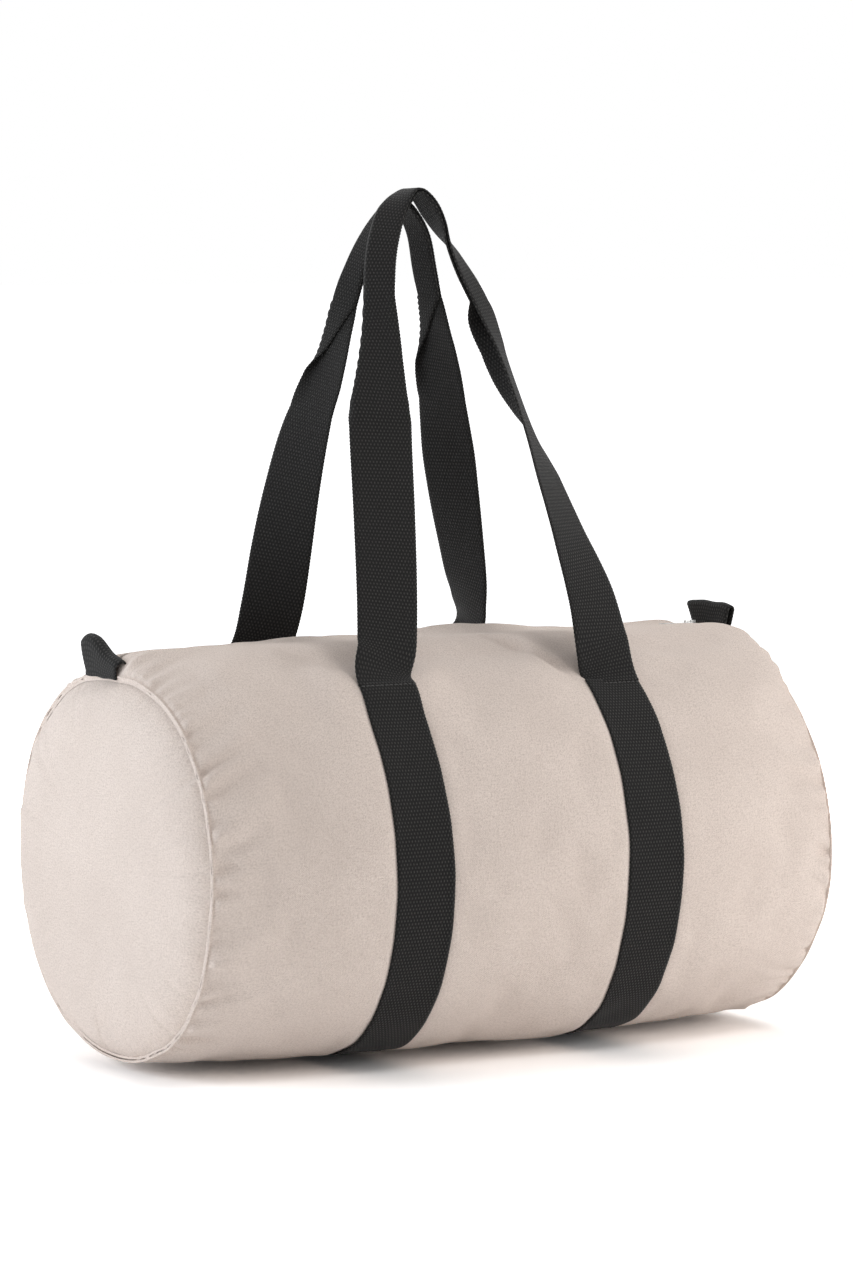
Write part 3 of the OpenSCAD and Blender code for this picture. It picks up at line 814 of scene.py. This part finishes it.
def end_panel(end):
    """The round end: a rolled rim where it is sewn to the body, and a slack disc inside it."""
    phi = PHI_LINES[::end]
    edge = canvas_point(np.full(phi.shape, end * HALF_LENGTH), phi)
    centre = np.array([end * HALF_LENGTH, 0, AXIS_HEIGHT])
    spoke = edge - centre
    reach = np.linalg.norm(spoke, axis=1)[:, None]
    spoke = spoke / reach
    out = np.array([end, 0, 0.0])
    arc = arc_of(phi)[:, None]
    rows, arcs = [], []
    for rise, off in RIM_PROFILE:
        rows.append(centre + spoke * (reach + rise) + out * off)
        arcs.append(reach[:, 0] + rise)
    for k in range(1, DISC_RINGS + 1):
        share = mix(1, 0.012, (k / DISC_RINGS) ** 1.5)
        radius = (reach + RIM_PROFILE[-1][0]) * share
        crown = RIM_PROFILE[-1][1] + (END_CROWN - RIM_PROFILE[-1][1]) * (1 - share ** 13)
        inset = reach - radius
        wrinkle = 0.3 * pucker(end * 70 + inset * 0.3, arc * share + 9)
        wrinkle = wrinkle * np.exp(-inset / 9) * smooth(1, 4, inset)
        for place, slope, width, length, height in PUCKERS[end]:
            off = (arc - place - 4 * slope) / (1.15 * width)
            wrinkle += 0.45 * height * np.exp(-off ** 2 - inset / length) * smooth(2, 7, inset)
        y, z = radius * spoke[:, 1:2], radius * spoke[:, 2:3]
        billow = 0.9 * broad(y + 300 * end, z) * smooth(0, 20, inset)
        for place_y, place_z, wide, tall, height in DISC_DENTS[end]:
            billow += height * np.exp(-((y - place_y) / wide) ** 2 - ((z - place_z) / tall) ** 2)
        rows.append(centre + spoke * radius + out * (crown + wrinkle + billow))
        arcs.append(radius[:, 0])
    points = np.stack(rows)
    normals = canvas_normals(points)
    normals = normals * np.sign(normals[-6, 5, 0]) * end
    # Radii in the order of PHI_LINES at both ends: the left weave is laid as a mirrored one
    radius, angle = np.stack(arcs)[:, ::end], np.radians(phi)
    uv = np.stack([radius * np.sin(angle), radius * np.cos(angle)], -1)
    panel = shell(f"{SIDE_NAME[end]}_end_canvas", points, normals, np.full(points.shape[:2], CANVAS),
                  np.ones((len(points) - 1, len(phi) - 1), bool), CANVAS_MAT, uv, wrap=True, capped=True)
    dress(panel, "bag", f"{SIDE_NAME[end]}_end_panel")


for end_side in (LEFT, RIGHT):
    end_panel(end_side)


def seam_binding(end):
    """The tape folded over the turned-in edges of the end seam, inside the bag."""
    phi = np.linspace(-180, 180, 241)[:-1]
    edge = canvas_point(np.full(phi.shape, end * (HALF_LENGTH - 6)), phi, folds=False)
    spoke = unit(edge - [end * (HALF_LENGTH - 6), 0, AXIS_HEIGHT])
    ring_edge = canvas_point(np.full(phi.shape, end * HALF_LENGTH), phi, folds=False)
    reach = np.minimum(np.linalg.norm(edge[:, 1:] - [0, AXIS_HEIGHT], axis=1),
                       np.linalg.norm(ring_edge[:, 1:] - [0, AXIS_HEIGHT], axis=1)) - 4.2
    wave = 0.5 * np.sin(np.radians(phi) * 23) + 0.3 * np.sin(np.radians(phi) * 37 + 1)
    profile = [(2.5, 0.0), (4, 0.9), (8, 1.1), (11.2, 0.8), (12, 0.0), (11.2, -0.8), (8, -1.1), (4, -0.9)]
    vertices = np.concatenate([[end * (HALF_LENGTH - a), 0, AXIS_HEIGHT]
                               + spoke * (reach + b + wave * a / 12)[:, None] for a, b in profile], 1)
    quads = tube(len(phi) + 1, len(profile))
    faces = [[a % len(phi) * len(profile) + b for a, b in quad] for quad in quads]
    corners = [(a * 3.5, b * 2.6) for quad in quads for a, b in quad]
    piece = new_object(f"{SIDE_NAME[end]}_binding_tape", vertices.reshape(-1, 3), faces, BINDING_MAT,
                       corners)
    dress(piece, "bag", f"{SIDE_NAME[end]}_seam_binding")


for end_side in (LEFT, RIGHT):
    seam_binding(end_side)


# Webbing


def ribbon(name, rings, flats):
    """A strip of webbing. rings are loops of points, and flats are (across, along) in mm for each point."""
    count, around = rings.shape[:2]
    quads = tube(count, around)
    for row in (0, count - 1):
        quads.extend([(row, k) for k in (j, j + 1, around - 2 - j, around - 1 - j)]
                     for j in range(around // 2 - 1))
    faces = [[a * around + b for a, b in quad] for quad in quads]
    corners = [flats[a, b] for quad in quads for a, b in quad]
    return new_object(name, rings.reshape(-1, 3), faces, WEB_MAT, np.array(corners))


ACROSS = 22
WEB_PLACES = np.linspace(-WEB_WIDTH / 2, WEB_WIDTH / 2, ACROSS + 1)


def slim_edges(share):
    """Thickness of the webbing at places across it, as a share: its two edges are thinner."""
    slim = np.ones(ACROSS + 1)
    slim[0] = slim[-1] = share
    return slim


def web_flats(q, at):
    """Places on the flat cloth of rings that run over the outer face and back under the inner one."""
    return np.stack(np.broadcast_arrays(np.concatenate([q, q[::-1]]), at[:, None]), -1)


def strip_section(flap, turn, turning):
    """Points across the webbing as (along its width, along its face), with one edge folded over.

    flap is the width that turns over, turn is by how much of a half turn, and turning is the edge, -1 or 1.
    It turns towards the inner face. Returns the places across, the middle line and its outward normals.
    """
    q = np.linspace(-WEB_WIDTH / 2, WEB_WIDTH / 2, ACROSS * 4 + 1)
    bend = mix(14.0, 3.3, turn ** 0.8)
    fold_at = WEB_WIDTH / 2 - max(flap, bend / 2)
    angle = math.pi * turn * np.clip((q - fold_at) / bend + 0.5, 0, 1)
    step = q[1] - q[0]
    heading = np.stack([np.cos(angle), -np.sin(angle)], -1)
    centre = np.concatenate([[[0, 0]], np.cumsum((heading[1:] + heading[:-1]) / 2 * step, axis=0)])
    normal = np.stack([np.sin(angle), np.cos(angle)], -1)
    centre[:, 0] -= (centre[:, 0].min() + centre[:, 0].max()) / 2
    centre[:, 1] += bend / math.pi * turn
    q, centre, normal = q[::4], centre[::4], normal[::4]
    if turning < 0:
        centre = centre[::-1] * [-1, 1]
        normal = normal[::-1] * [-1, 1]
    return q, centre, normal


def strip_ring(place, wide, face, along, serration, flap, turn, turning):
    """One closed ring of a strip of webbing about a point."""
    q, centre, normal = strip_section(flap, turn, turning)
    tangent = unit(np.gradient(centre, axis=0))
    half = WEB / 2
    slim = slim_edges(0.55)
    edge = np.zeros(len(q))
    edge[0], edge[-1] = -serration, serration
    centre = centre + tangent * edge[:, None]
    outer = centre + normal * (half * slim)[:, None]
    inner = centre - normal * (half * slim)[:, None]
    loop = np.concatenate([outer, inner[::-1]])
    points = place + loop[:, :1] * wide + loop[:, 1:] * face
    return points, web_flats(q, np.array([along]))[0]


def arch_line(side, rise, top, bow):
    """The handle's middle line from its left foot to its right foot, with the share of its rise."""
    hinge_r = MIDDLE_R - 0.5 + WEB + 0.4 + WEB / 2
    turn = math.radians(side * STITCH_ANGLE + ZIP_ROLL)
    foot_y, foot_z = hinge_r * math.sin(turn), AXIS_HEIGHT + hinge_r * math.cos(turn)
    lean = math.asin((foot_y - top) / rise)
    t = np.sign(np.linspace(-1, 1, 801)) * np.abs(np.linspace(-1, 1, 801)) ** 1.25
    x = np.sign(t) * BAND_X * np.abs(t) ** SPACING_POWER
    share = 1 - np.abs(t) ** (SPACING_POWER * ARCH_POWER)
    y = -side * bow * share * (1 - share) ** 3 / (0.75 ** 3 / 4)
    z = rise * share
    points = np.stack([x, foot_y + y * math.cos(lean) - z * math.sin(lean),
                       foot_z + y * math.sin(lean) + z * math.cos(lean)], -1)
    return points, share * rise


def even_line(points, step, *values):
    """Points spaced evenly along a line, with values carried over."""
    far = np.concatenate([[0], np.cumsum(np.linalg.norm(np.diff(points, axis=0), axis=1))])
    at = np.linspace(0, far[-1], max(2, round(far[-1] / step)) + 1)
    made = np.stack([np.interp(at, far, points[:, k]) for k in range(3)], -1)
    return made, at, [np.interp(at, far, v) for v in values]


def softened(points, rounds):
    for _ in range(rounds):
        points[1:-1] = (points[:-2] + 2 * points[1:-1] + points[2:]) / 4
    return points


# Turn of each leg about its length, in degrees, at heights in mm above its stitch line
TWISTS = {
    (FRONT, LEFT): ([0, 30, 80, 120, 160, 200, 240, 275, 300, 316, 330],
                    [0, 7, 12, 15, 18, 24, 32, 40, 48, 60, 92]),
    (FRONT, RIGHT): ([0, 20, 40, 60, 80, 100, 120, 140, 165, 220, 256, 276, 293, 304, 316, 330],
                     [0, 2, 6, 13, 22, 30, 36, 41, 48, 50, 34, 42, 60, 84, 99, 92]),
    (BACK, LEFT): ([0, 24, 60, 100, 140, 180, 200, 222, 240, 260, 280, 300, 321],
                   [0, -3, -26, -42, -57, -70, -79, -85, -80, -68, -76, -84, -90]),
    (BACK, RIGHT): ([0, 8, 15, 23, 32, 58, 75, 100, 140, 160, 180, 200, 225, 245, 262, 300, 321],
                    [0, 4, 22, 60, 88, 90, 81, 74, 65, 63, 68, 74, 80, 84, 76, 78, 90]),
}
# The edge of each leg that turns over, then heights, the width turned over there and its share of half a
# turn
FOLDS = {
    (FRONT, LEFT): (-1, [0, 176, 190, 200, 220, 240, 262, 330], [0, 0, 3, 6, 11.7, 16.2, 20, 20],
                    [0, 0, 0.6, 0.9, 1, 1, 1, 1]),
    (FRONT, RIGHT): (-1, [0, 140, 165, 185, 205, 228, 246, 258, 330],
                     [10, 10, 13, 15, 15, 15.5, 18, 20, 20], [0, 0, 0.08, 0.2, 0.34, 0.5, 0.76, 1, 1]),
    (BACK, LEFT): (1, [0, 190, 204, 214, 226, 240, 258, 321], [0, 1, 3, 5, 8.5, 14, 20, 20],
                   [0, 0, 0.32, 0.66, 0.96, 1, 1, 1]),
    (BACK, RIGHT): (-1, [0, 196, 210, 222, 234, 246, 262, 321], [0, 1, 3, 4.5, 7, 12, 20, 20],
                    [0, 0, 0.3, 0.66, 0.96, 1, 1, 1]),
}
# How far each leg leans out of the even arch along X, at heights above its stitch line
SWAYS = {
    (FRONT, LEFT): ([0, 60, 120, 180, 240, 265, 300, 320, 330], [0, 2, 0.5, -3, -5, -8, -9, -6, -0.5]),
    (FRONT, RIGHT): ([0, 20, 60, 100, 200, 260, 280, 310, 330], [0, 0, 4.5, 4, 3, 2.5, 0, -1, -0.5]),
    (BACK, LEFT): ([0, 40, 60, 100, 140, 190, 220, 240, 260, 300, 321],
                   [0, 5, 3, -2, -5, -5, -1, -2, -4, -4, -1]),
    (BACK, RIGHT): ([0, 40, 60, 80, 120, 200, 240, 280, 300, 321], [0, 6.5, 5, 3, 0, 0, 2, 1, 2, -1]),
}
PEAK_LIFT = {FRONT: 3.5, BACK: 6.0}
# Height over which each foot bends up off its band, and how far it stands off the canvas on the way
FOOT_BEND = {FRONT: 34.0, BACK: 22.0}
FOOT_LIFT = {FRONT: 1.2, BACK: 4.2}


def band_radius(x, phi):
    """Radius of the inner face of a band, which is stiffer than the canvas and bridges its small folds."""
    points = canvas_point(x, phi)
    own = np.linalg.norm(points[..., 1:] - [0, AXIS_HEIGHT], axis=-1)
    return np.maximum(mix(own, own.mean(-1, keepdims=True), 0.55), own) + 0.2


def stitch_line(side, end):
    """Middle of a handle's foot on its stitch line, and the direction out of the bag there."""
    x = end * BAND_X + WEB_PLACES[None]
    r = band_radius(x, np.full(x.shape, stitch_phi(side))).mean()
    theta = math.radians(stitch_phi(side) + ZIP_ROLL)
    radial = np.array([0, math.sin(theta), math.cos(theta)])
    return np.array([end * BAND_X, 0, AXIS_HEIGHT]) + radial * (r + WEB / 2 - 0.06), radial


def leg(side, end, rise, top, bow):
    """Middle line of one leg, from its stitch line to the top, with the heights of its points."""
    points, height = arch_line(side, rise, top, bow)
    half = points[:, 0] * end >= 0
    points, height = points[half], height[half]
    if end == RIGHT:
        points, height = points[::-1], height[::-1]
    points = points + np.outer(soft_table(*SWAYS[side, end], height), [1, 0, 0])
    points = points + np.outer(PEAK_LIFT[side] * smooth(200, rise, height), [0, 0, 1])
    foot, radial = stitch_line(side, end)
    uphill = np.cross([side, 0, 0], radial)
    uphill = uphill * np.sign(uphill[2])
    bend = FOOT_BEND[side]
    joint = int(np.argmax(height > bend))
    onward = unit(points[joint + 1] - points[joint - 1]) * bend
    t = np.linspace(0, 1, 40)[:-1, None]
    rise_in = uphill * bend * 1.25
    gap = points[joint] - foot
    curve = foot + gap * (3 * t * t - 2 * t ** 3) + rise_in * (t ** 3 - 2 * t * t + t)
    curve = curve + onward * (t ** 3 - t * t) + radial * FOOT_LIFT[side] * np.sin(t * math.pi) ** 2
    tail = foot - uphill * np.array([[2.2], [1.1]])
    line = np.concatenate([tail, curve, points[joint:]])
    heights = np.concatenate([[-2, -1], t[:, 0] * height[joint], height[joint:]])
    return line, heights


def handle(side, rise, top, bow):
    face = FACE_NAME[side]
    up, up_height = leg(side, LEFT, rise, top, bow)
    down, down_height = leg(side, RIGHT, rise, top, bow)
    points = np.concatenate([up, down[::-1][1:]])
    height = np.concatenate([up_height, down_height[::-1][1:]])
    points, along, (height,) = even_line(points, WEAVE_ROW / 2, height)
    points = softened(points, 10)
    tangent = unit(np.gradient(points, axis=0))
    out = np.array([0, side, 0.0])
    rings, flats = [], []
    peak = int(np.argmax(height))
    for k, place in enumerate(points):
        end = LEFT if k <= peak else RIGHT
        turning, levels, flaps, turns = FOLDS[side, end]
        twist = math.radians(float(soft_table(*TWISTS[side, end], max(height[k], 0))))
        flap = float(np.interp(height[k], levels, flaps))
        turn = float(np.clip(soft_table(levels, turns, max(height[k], 0)), 0, 1))
        base = unit(out - tangent[k] * (tangent[k] @ out))
        normal = base * math.cos(twist) + side * np.cross(tangent[k], base) * math.sin(twist)
        wide = unit(np.cross(tangent[k], normal))
        ragged = 0.22 if k % 2 else -0.12
        ring, flat = strip_ring(place, wide, normal, along[k], ragged, flap, turn, turning)
        rings.append(ring)
        flats.append(flat)
    obj = ribbon(f"{face}_handle_webbing", np.array(rings), np.array(flats))
    foot = stitch_line(side, LEFT)[0]
    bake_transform(obj)
    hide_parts(f"{face}_handle")


handle(FRONT, FRONT_RISE, FRONT_TOP, 0.0)
handle(BACK, BACK_RISE, BACK_TOP, BACK_BOW)


def band(end):
    """The webbing round the body, from one stitch line down, under the bag and up to the other."""
    phi = np.concatenate([np.linspace(stitch_phi(FRONT), -180, 320),
                          np.linspace(180, stitch_phi(BACK), 320)[1:]])
    middle = canvas_point(np.full(phi.shape, end * BAND_X), phi)
    far = np.concatenate([[0], np.cumsum(np.linalg.norm(np.diff(middle, axis=0), axis=1))])
    at = np.arange(0, far[-1], WEAVE_ROW / 2)
    unrolled = np.where(phi > 0, phi - 360, phi)
    phi = np.interp(at, far, unrolled)
    phi = np.where(phi < -180, phi + 360, phi)
    x, angle = np.meshgrid(end * BAND_X + WEB_PLACES, phi)
    theta = np.radians(angle + ZIP_ROLL)
    r = band_radius(x, angle)
    spoke = np.stack([0 * theta, np.sin(theta), np.cos(theta)], -1)
    inner = np.stack([x, 0 * x, 0 * x + AXIS_HEIGHT], -1) + spoke * r[..., None]
    slim = slim_edges(0.6)
    outer = inner + spoke * (WEB * slim)[None, :, None]
    inner = inner + spoke * (WEB * (1 - slim) / 2)[None, :, None]
    ragged = np.where(np.arange(len(at)) % 2 == 0, -0.12, 0.22)
    for layer in (outer, inner):
        layer[:, 0, 0] -= ragged
        layer[:, -1, 0] += ragged
    rings = np.concatenate([outer, inner[:, ::-1]], 1)
    rings[..., 2] = np.maximum(rings[..., 2], 0)
    obj = ribbon(f"{SIDE_NAME[end]}_band_webbing", rings, web_flats(WEB_PLACES, at))
    dress(obj, "bag", f"{SIDE_NAME[end]}_band")


for end_side in (LEFT, RIGHT):
    band(end_side)


# Zip


def rolled(x, y, z):
    """A point given in the frame of the zip line, which is rolled a little behind the top."""
    roll = math.radians(ZIP_ROLL)
    x, y, z = np.broadcast_arrays(np.asarray(x, float), y, z)
    up = z - AXIS_HEIGHT
    return np.stack([x, y * math.cos(roll) + up * math.sin(roll),
                     AXIS_HEIGHT + up * math.cos(roll) - y * math.sin(roll)], -1)


def zip_sink(x):
    """How far the zip dips where the canvas is drawn down into an end seam."""
    phi = np.full(np.shape(x), HEM_ANGLE)
    return barrel_radius(x, phi) * math.cos(math.radians(HEM_ANGLE)) - HEM_HEIGHT


def tape(name, x0, x1, sides):
    """One stretch of zip tape on one side or both."""
    parts = []
    for side in sides:
        x = lines([x0, x1], 3.0)
        y = np.linspace(CHAIN_HALF - 0.6, CHAIN_HALF + TAPE_WIDTH, 12) * side
        gx, gy = np.meshgrid(x, y, indexing="ij")
        points = rolled(gx, gy, TAPE_MIDDLE + TAPE / 2 + zip_sink(gx))
        normals = grid_normals(points)
        parts.append(shell(name, points, normals * np.sign(normals[..., 2:3]), np.full(gx.shape, TAPE),
                           np.ones((len(x) - 1, len(y) - 1), bool), TAPE_MAT, np.stack([gx, gy], -1)))
    if len(parts) > 1:
        chosen = dict(active_object=parts[0], selected_editable_objects=parts, selected_objects=parts)
        with bpy.context.temp_override(**chosen):
            bpy.ops.object.join()
    return parts[0]


TOOTH_OUTLINE = [(-0.62, 4.1), (-0.80, 3.3), (-0.62, 1.5), (-0.70, 0.6), (-0.35, -0.35),
                 (0.35, -0.35), (0.70, 0.6), (0.62, 1.5), (0.80, 3.3), (0.62, 4.1)]


def teeth(name, stretches):
    """Rows of teeth. stretches are (x0, x1, side); the two sides stand half a pitch apart."""
    vertices, faces = [], []
    for x0, x1, side in stretches:
        shift = 0.25 if side > 0 else 0.75
        place = (math.ceil((x0 + TOOTH_ROOM) / TOOTH_PITCH - shift) + shift) * TOOTH_PITCH
        while place < x1 - TOOTH_ROOM:
            faces.extend(closed_tube(len(vertices), 4, len(TOOTH_OUTLINE)))
            middle = TAPE_MIDDLE + float(zip_sink(np.array([place]))[0])
            for share, height in ((0.8, 1), (1, 0.72), (1, -0.72), (0.8, -1)):
                x, y = np.transpose(TOOTH_OUTLINE)
                y = np.where(y < 1, y + (1 - share) * 1.2, y)
                z = middle + height * TOOTH_HEIGHT / 2
                vertices.extend(rolled(place + x * share, side * y, z).tolist())
            place += TOOTH_PITCH
    return new_object(name, vertices, faces, TOOTH_MAT, smooth_shade=False)


def lip_zip(side):
    """Tape and teeth of one side of the mouth, cut like the lip's canvas."""
    face = FACE_NAME[side]
    stretches = (("", -LIP_BEND, LIP_BEND), ("_left", -LIP_HALF, -LIP_BEND), ("_right", LIP_BEND, LIP_HALF))
    for kind in ("tape", "teeth"):
        for tag, x0, x1 in stretches:
            name = f"{face}_mouth_{kind}{tag}"
            piece = tape(name, x0, x1, [side]) if kind == "tape" else teeth(name, [(x0, x1, side)])
            if tag:
                lip_blend(piece)
            else:
                dress(piece, f"{face}_lip", f"{face}_zip_{kind}")


for face_side in (FRONT, BACK):
    lip_zip(face_side)
for end_side in (LEFT, RIGHT):
    word = SIDE_NAME[end_side]
    x_range = sorted((end_side * LIP_HALF, end_side * (SLIT_HALF + 1)))
    tapes = tape(f"{word}_fixed_tapes", *x_range, [FRONT, BACK])
    dress(tapes, "bag", f"{word}_zip_tapes")
    x_range = sorted((end_side * LIP_HALF, ROW_END[end_side]))
    row = teeth(f"{word}_fixed_teeth", [(*x_range, FRONT), (*x_range, BACK)])
    dress(row, "bag", f"{word}_zip_teeth")

for node_name in ("zip_slider", "zip_puller", "zip_top_stops", "zip_bottom_stop"):
    node = frame["nodes"][node_name]
    node.data.materials.clear()
    node.data.materials.append(SLIDER_MAT)
    bevel = node.modifiers.new("soft_edges", "BEVEL")
    bevel.width = 0.28 * MM
    bevel.segments = 2
    bevel.limit_method = "ANGLE"


# Tabs at both ends of the zip


# Foot's middle Y and height, depth of the loop, its height at places across it, how far its two edges lean
# along Y, how much wider than the webbing it spreads, its bow, and how it is turned at its foot and top
TABS = {
    LEFT: (13.5, 248.6, 7.5, [-20, -8, 0, 10, 15, 20], [8, 12, 16.5, 22, 22.5, 19.5],
           (-2.0, 7.5), 1.03, 0.5, (0, 0)),
    RIGHT: (8.0, 256.2, 4.4, [-20, -14, 0, 14, 17, 20], [17.5, 18.6, 19, 19, 18.6, 17.8],
            (-1.5, 3.5), 1.06, -0.3, (-0.12, 0.05)),
}


def end_tab(end):
    """A loop of webbing sewn into the end seam over the end of the zip. Its height changes across it."""
    middle, foot, depth, places, heights, leans, spread, bow, turn = TABS[end]
    q = WEB_PLACES
    high = soft_table(places, heights, q)
    lean = mix(leans[0], leans[1], (q + WEB_WIDTH / 2) / WEB_WIDTH)
    x_out = end * (HALF_LENGTH + 1.0)
    rows = []
    for share in np.linspace(0, 1, 14):
        rows.append((x_out, mix(-3, high - depth / 2, share)))
    for a in np.linspace(0, math.pi, 13)[1:-1]:
        rows.append((x_out - end * depth / 2 * (1 - math.cos(a)),
                     high - depth / 2 + depth / 2 * math.sin(a)))
    for share in np.linspace(0, 1, 12):
        rows.append((x_out - end * depth, mix(high - depth / 2, -2, share)))
    grid = []
    for x, h in rows:
        up = np.clip(h / high, 0, 1)
        y = middle + q * spread + lean * up
        x = x - (y - middle) * mix(*turn, up) - bow * np.sin(up * math.pi)
        grid.append(np.stack([x, y, foot + h + 0.25 * np.sin(q * 0.35)], -1))
    grid = np.array(grid)
    steps = np.linalg.norm(np.diff(grid, axis=0), axis=2).mean(1)
    along = np.concatenate([[0], np.cumsum(steps)])
    at = np.arange(0, along[-1], WEAVE_ROW / 2)
    grid = np.stack([[np.interp(at, along, grid[:, j, k]) for k in range(3)] for j in range(len(q))])
    grid = grid.transpose(2, 0, 1)
    normal = unit(np.cross(np.gradient(grid, axis=0), np.gradient(grid, axis=1)))
    normal = normal * np.sign(normal[3, ACROSS // 2, 0] * end)
    ragged = np.where(np.arange(len(at)) % 2 == 0, -0.12, 0.2)
    grid[:, 0, 1] -= ragged
    grid[:, -1, 1] += ragged
    half = (WEB / 2 * slim_edges(0.6))[None, :, None]
    rings = np.concatenate([grid + normal * half, (grid - normal * half)[:, ::-1]], 1)
    obj = ribbon(f"{SIDE_NAME[end]}_tab_webbing", rings[:, ::-end], web_flats(q, at)[:, ::-end])
    dress(obj, "bag", f"{SIDE_NAME[end]}_end_tab")


for end_side in (LEFT, RIGHT):
    end_tab(end_side)


# Stitches


STITCH_COUNT = 12
STITCH_LENGTH, STITCH_WIDTH, STITCH_HEIGHT = 2.5, 0.75, 0.3
# Places along a stitch, in its lengths, with the share of its thickness there
STITCH_SHAPE = ((-0.5, 0.12), (-0.42, 0.7), (-0.2, 1.0), (0.2, 1.0), (0.42, 0.7), (0.5, 0.12))


def band_stitches(end):
    """The rows across both ends of a band that hold the handles, each stitch a low rounded bar."""
    vertices, faces = [], []
    turn = np.arange(8)[:, None] * math.pi / 4
    for side in (FRONT, BACK):
        at = canvas_point(end * BAND_X, stitch_phi(side) + side * 1.2)
        up = unit(np.array([0, at[1], at[2] - AXIS_HEIGHT]))
        across = np.cross([1, 0, 0], up)
        at = at + up * (WEB + 0.35)
        for i in range(STITCH_COUNT):
            at[0] = end * BAND_X - WEB_WIDTH / 2 + WEB_WIDTH * (i + 0.5) / STITCH_COUNT
            faces.extend(closed_tube(len(vertices), len(STITCH_SHAPE), len(turn)))
            for along, size in STITCH_SHAPE:
                ring = across * np.cos(turn) * STITCH_WIDTH / 2 + up * np.sin(turn) * STITCH_HEIGHT
                vertices.extend(at + [along * STITCH_LENGTH, 0, 0] + ring * size)
    obj = new_object(f"{SIDE_NAME[end]}_handle_stitches", vertices, faces, BLACK_THREAD)
    dress(obj, "bag", f"{SIDE_NAME[end]}_band_stitching")


for end_side in (LEFT, RIGHT):
    band_stitches(end_side)


# Stage, light and camera


# The floor's level where it is only lit by, and where it is seen, near the bag and far off
FLOOR_BOUNCE, FLOOR_NEAR, FLOOR_FAR = 1.15, 1.6, 4.4
WORLD_LEVEL = 0.31
FLOOR_SIZE = 30000.0


def floor():
    """A pale floor that fades to white, set just under the bag."""
    t = Tree(bpy.data.materials.new("floor"))
    reach = t.nodes.new("ShaderNodeVectorMath")
    reach.operation = "LENGTH"
    t.links.new(t.node("ShaderNodeTexCoord", output=3), reach.inputs[0])
    white = t.blend(t.span(reach.outputs["Value"], 0.3, 1.3), (FLOOR_NEAR,) * 3, (FLOOR_FAR,) * 3)
    diffuse = t.node("ShaderNodeBsdfDiffuse", Color=t.blend(t.seen(), (FLOOR_BOUNCE,) * 3, white))
    t.links.new(diffuse, t.nodes["Material Output"].inputs["Surface"])
    corners = [(a * FLOOR_SIZE, b * FLOOR_SIZE, 0) for a, b in ((-1, -1), (1, -1), (1, 1), (-1, 1))]
    plane = new_object("floor", corners, [(0, 1, 2, 3)], t.owner)
    plane.location.z = -0.05 * MM


def world():
    """Even light from all round, white where it is seen."""
    t = Tree(bpy.data.worlds.new("studio"))
    bpy.context.scene.world = t.owner
    background = t.nodes["Background"]
    t.put(background.inputs["Color"], (1, 1, 1))
    t.put(background.inputs["Strength"], t.span(t.seen(), 0.0, 1.0, WORLD_LEVEL, 1.0))


def softbox(name, place, aim, width, power, colour=(1, 1, 1)):
    """A square soft lamp, in metres and watts, that the camera doesn't see."""
    data = bpy.data.lights.new(name, "AREA")
    data.energy = power
    data.size = width
    data.color = colour
    lamp = bpy.data.objects.new(name, data)
    bpy.context.scene.collection.objects.link(lamp)
    lamp.location = place
    lamp.rotation_mode = "QUATERNION"
    lamp.rotation_quaternion = (Vector(place) - Vector(aim)).to_track_quat("Z", "Y")
    lamp.visible_camera = False


def camera():
    """The photo's view: about 30 degrees to the left of the front and 5 degrees down."""
    azimuth, elevation = -0.53144, 0.085377
    flat = math.cos(elevation)
    back = Vector((math.sin(azimuth) * flat, -math.cos(azimuth) * flat, math.sin(elevation)))
    data = bpy.data.cameras.new("camera")
    data.sensor_width = 36
    data.lens = 140.72
    data.clip_end = 100
    obj = bpy.data.objects.new("camera", data)
    bpy.context.scene.collection.objects.link(obj)
    obj.location = (-1.6234, -2.7615, 0.5343)
    obj.rotation_mode = "QUATERNION"
    obj.rotation_quaternion = (-back).to_track_quat("-Z", "Y")
    bpy.context.scene.camera = obj


floor()
world()
softbox("left_light", (-1.2, 0.2, 0.42), (-0.2, 0, 0.13), 0.7, 6.4, (0.93, 1.0, 1.07))
softbox("right_light", (0.74, -0.66, 0.24), (0.16, -0.12, 0.13), 0.5, 2.8, (1.0, 0.985, 0.975))
softbox("high_light", (0.2, -1.0, 1.25), (0, -0.05, 0.15), 0.45, 4.0)
softbox("top_light", (0.15, 0.1, 1.5), (0, 0, 0.2), 1.2, 6.0)
softbox("back_light", (0.3, 1.6, 1.1), (0, 0, 0.15), 1.2, 7)
camera()
bpy.context.scene.view_settings.view_transform = "Standard"
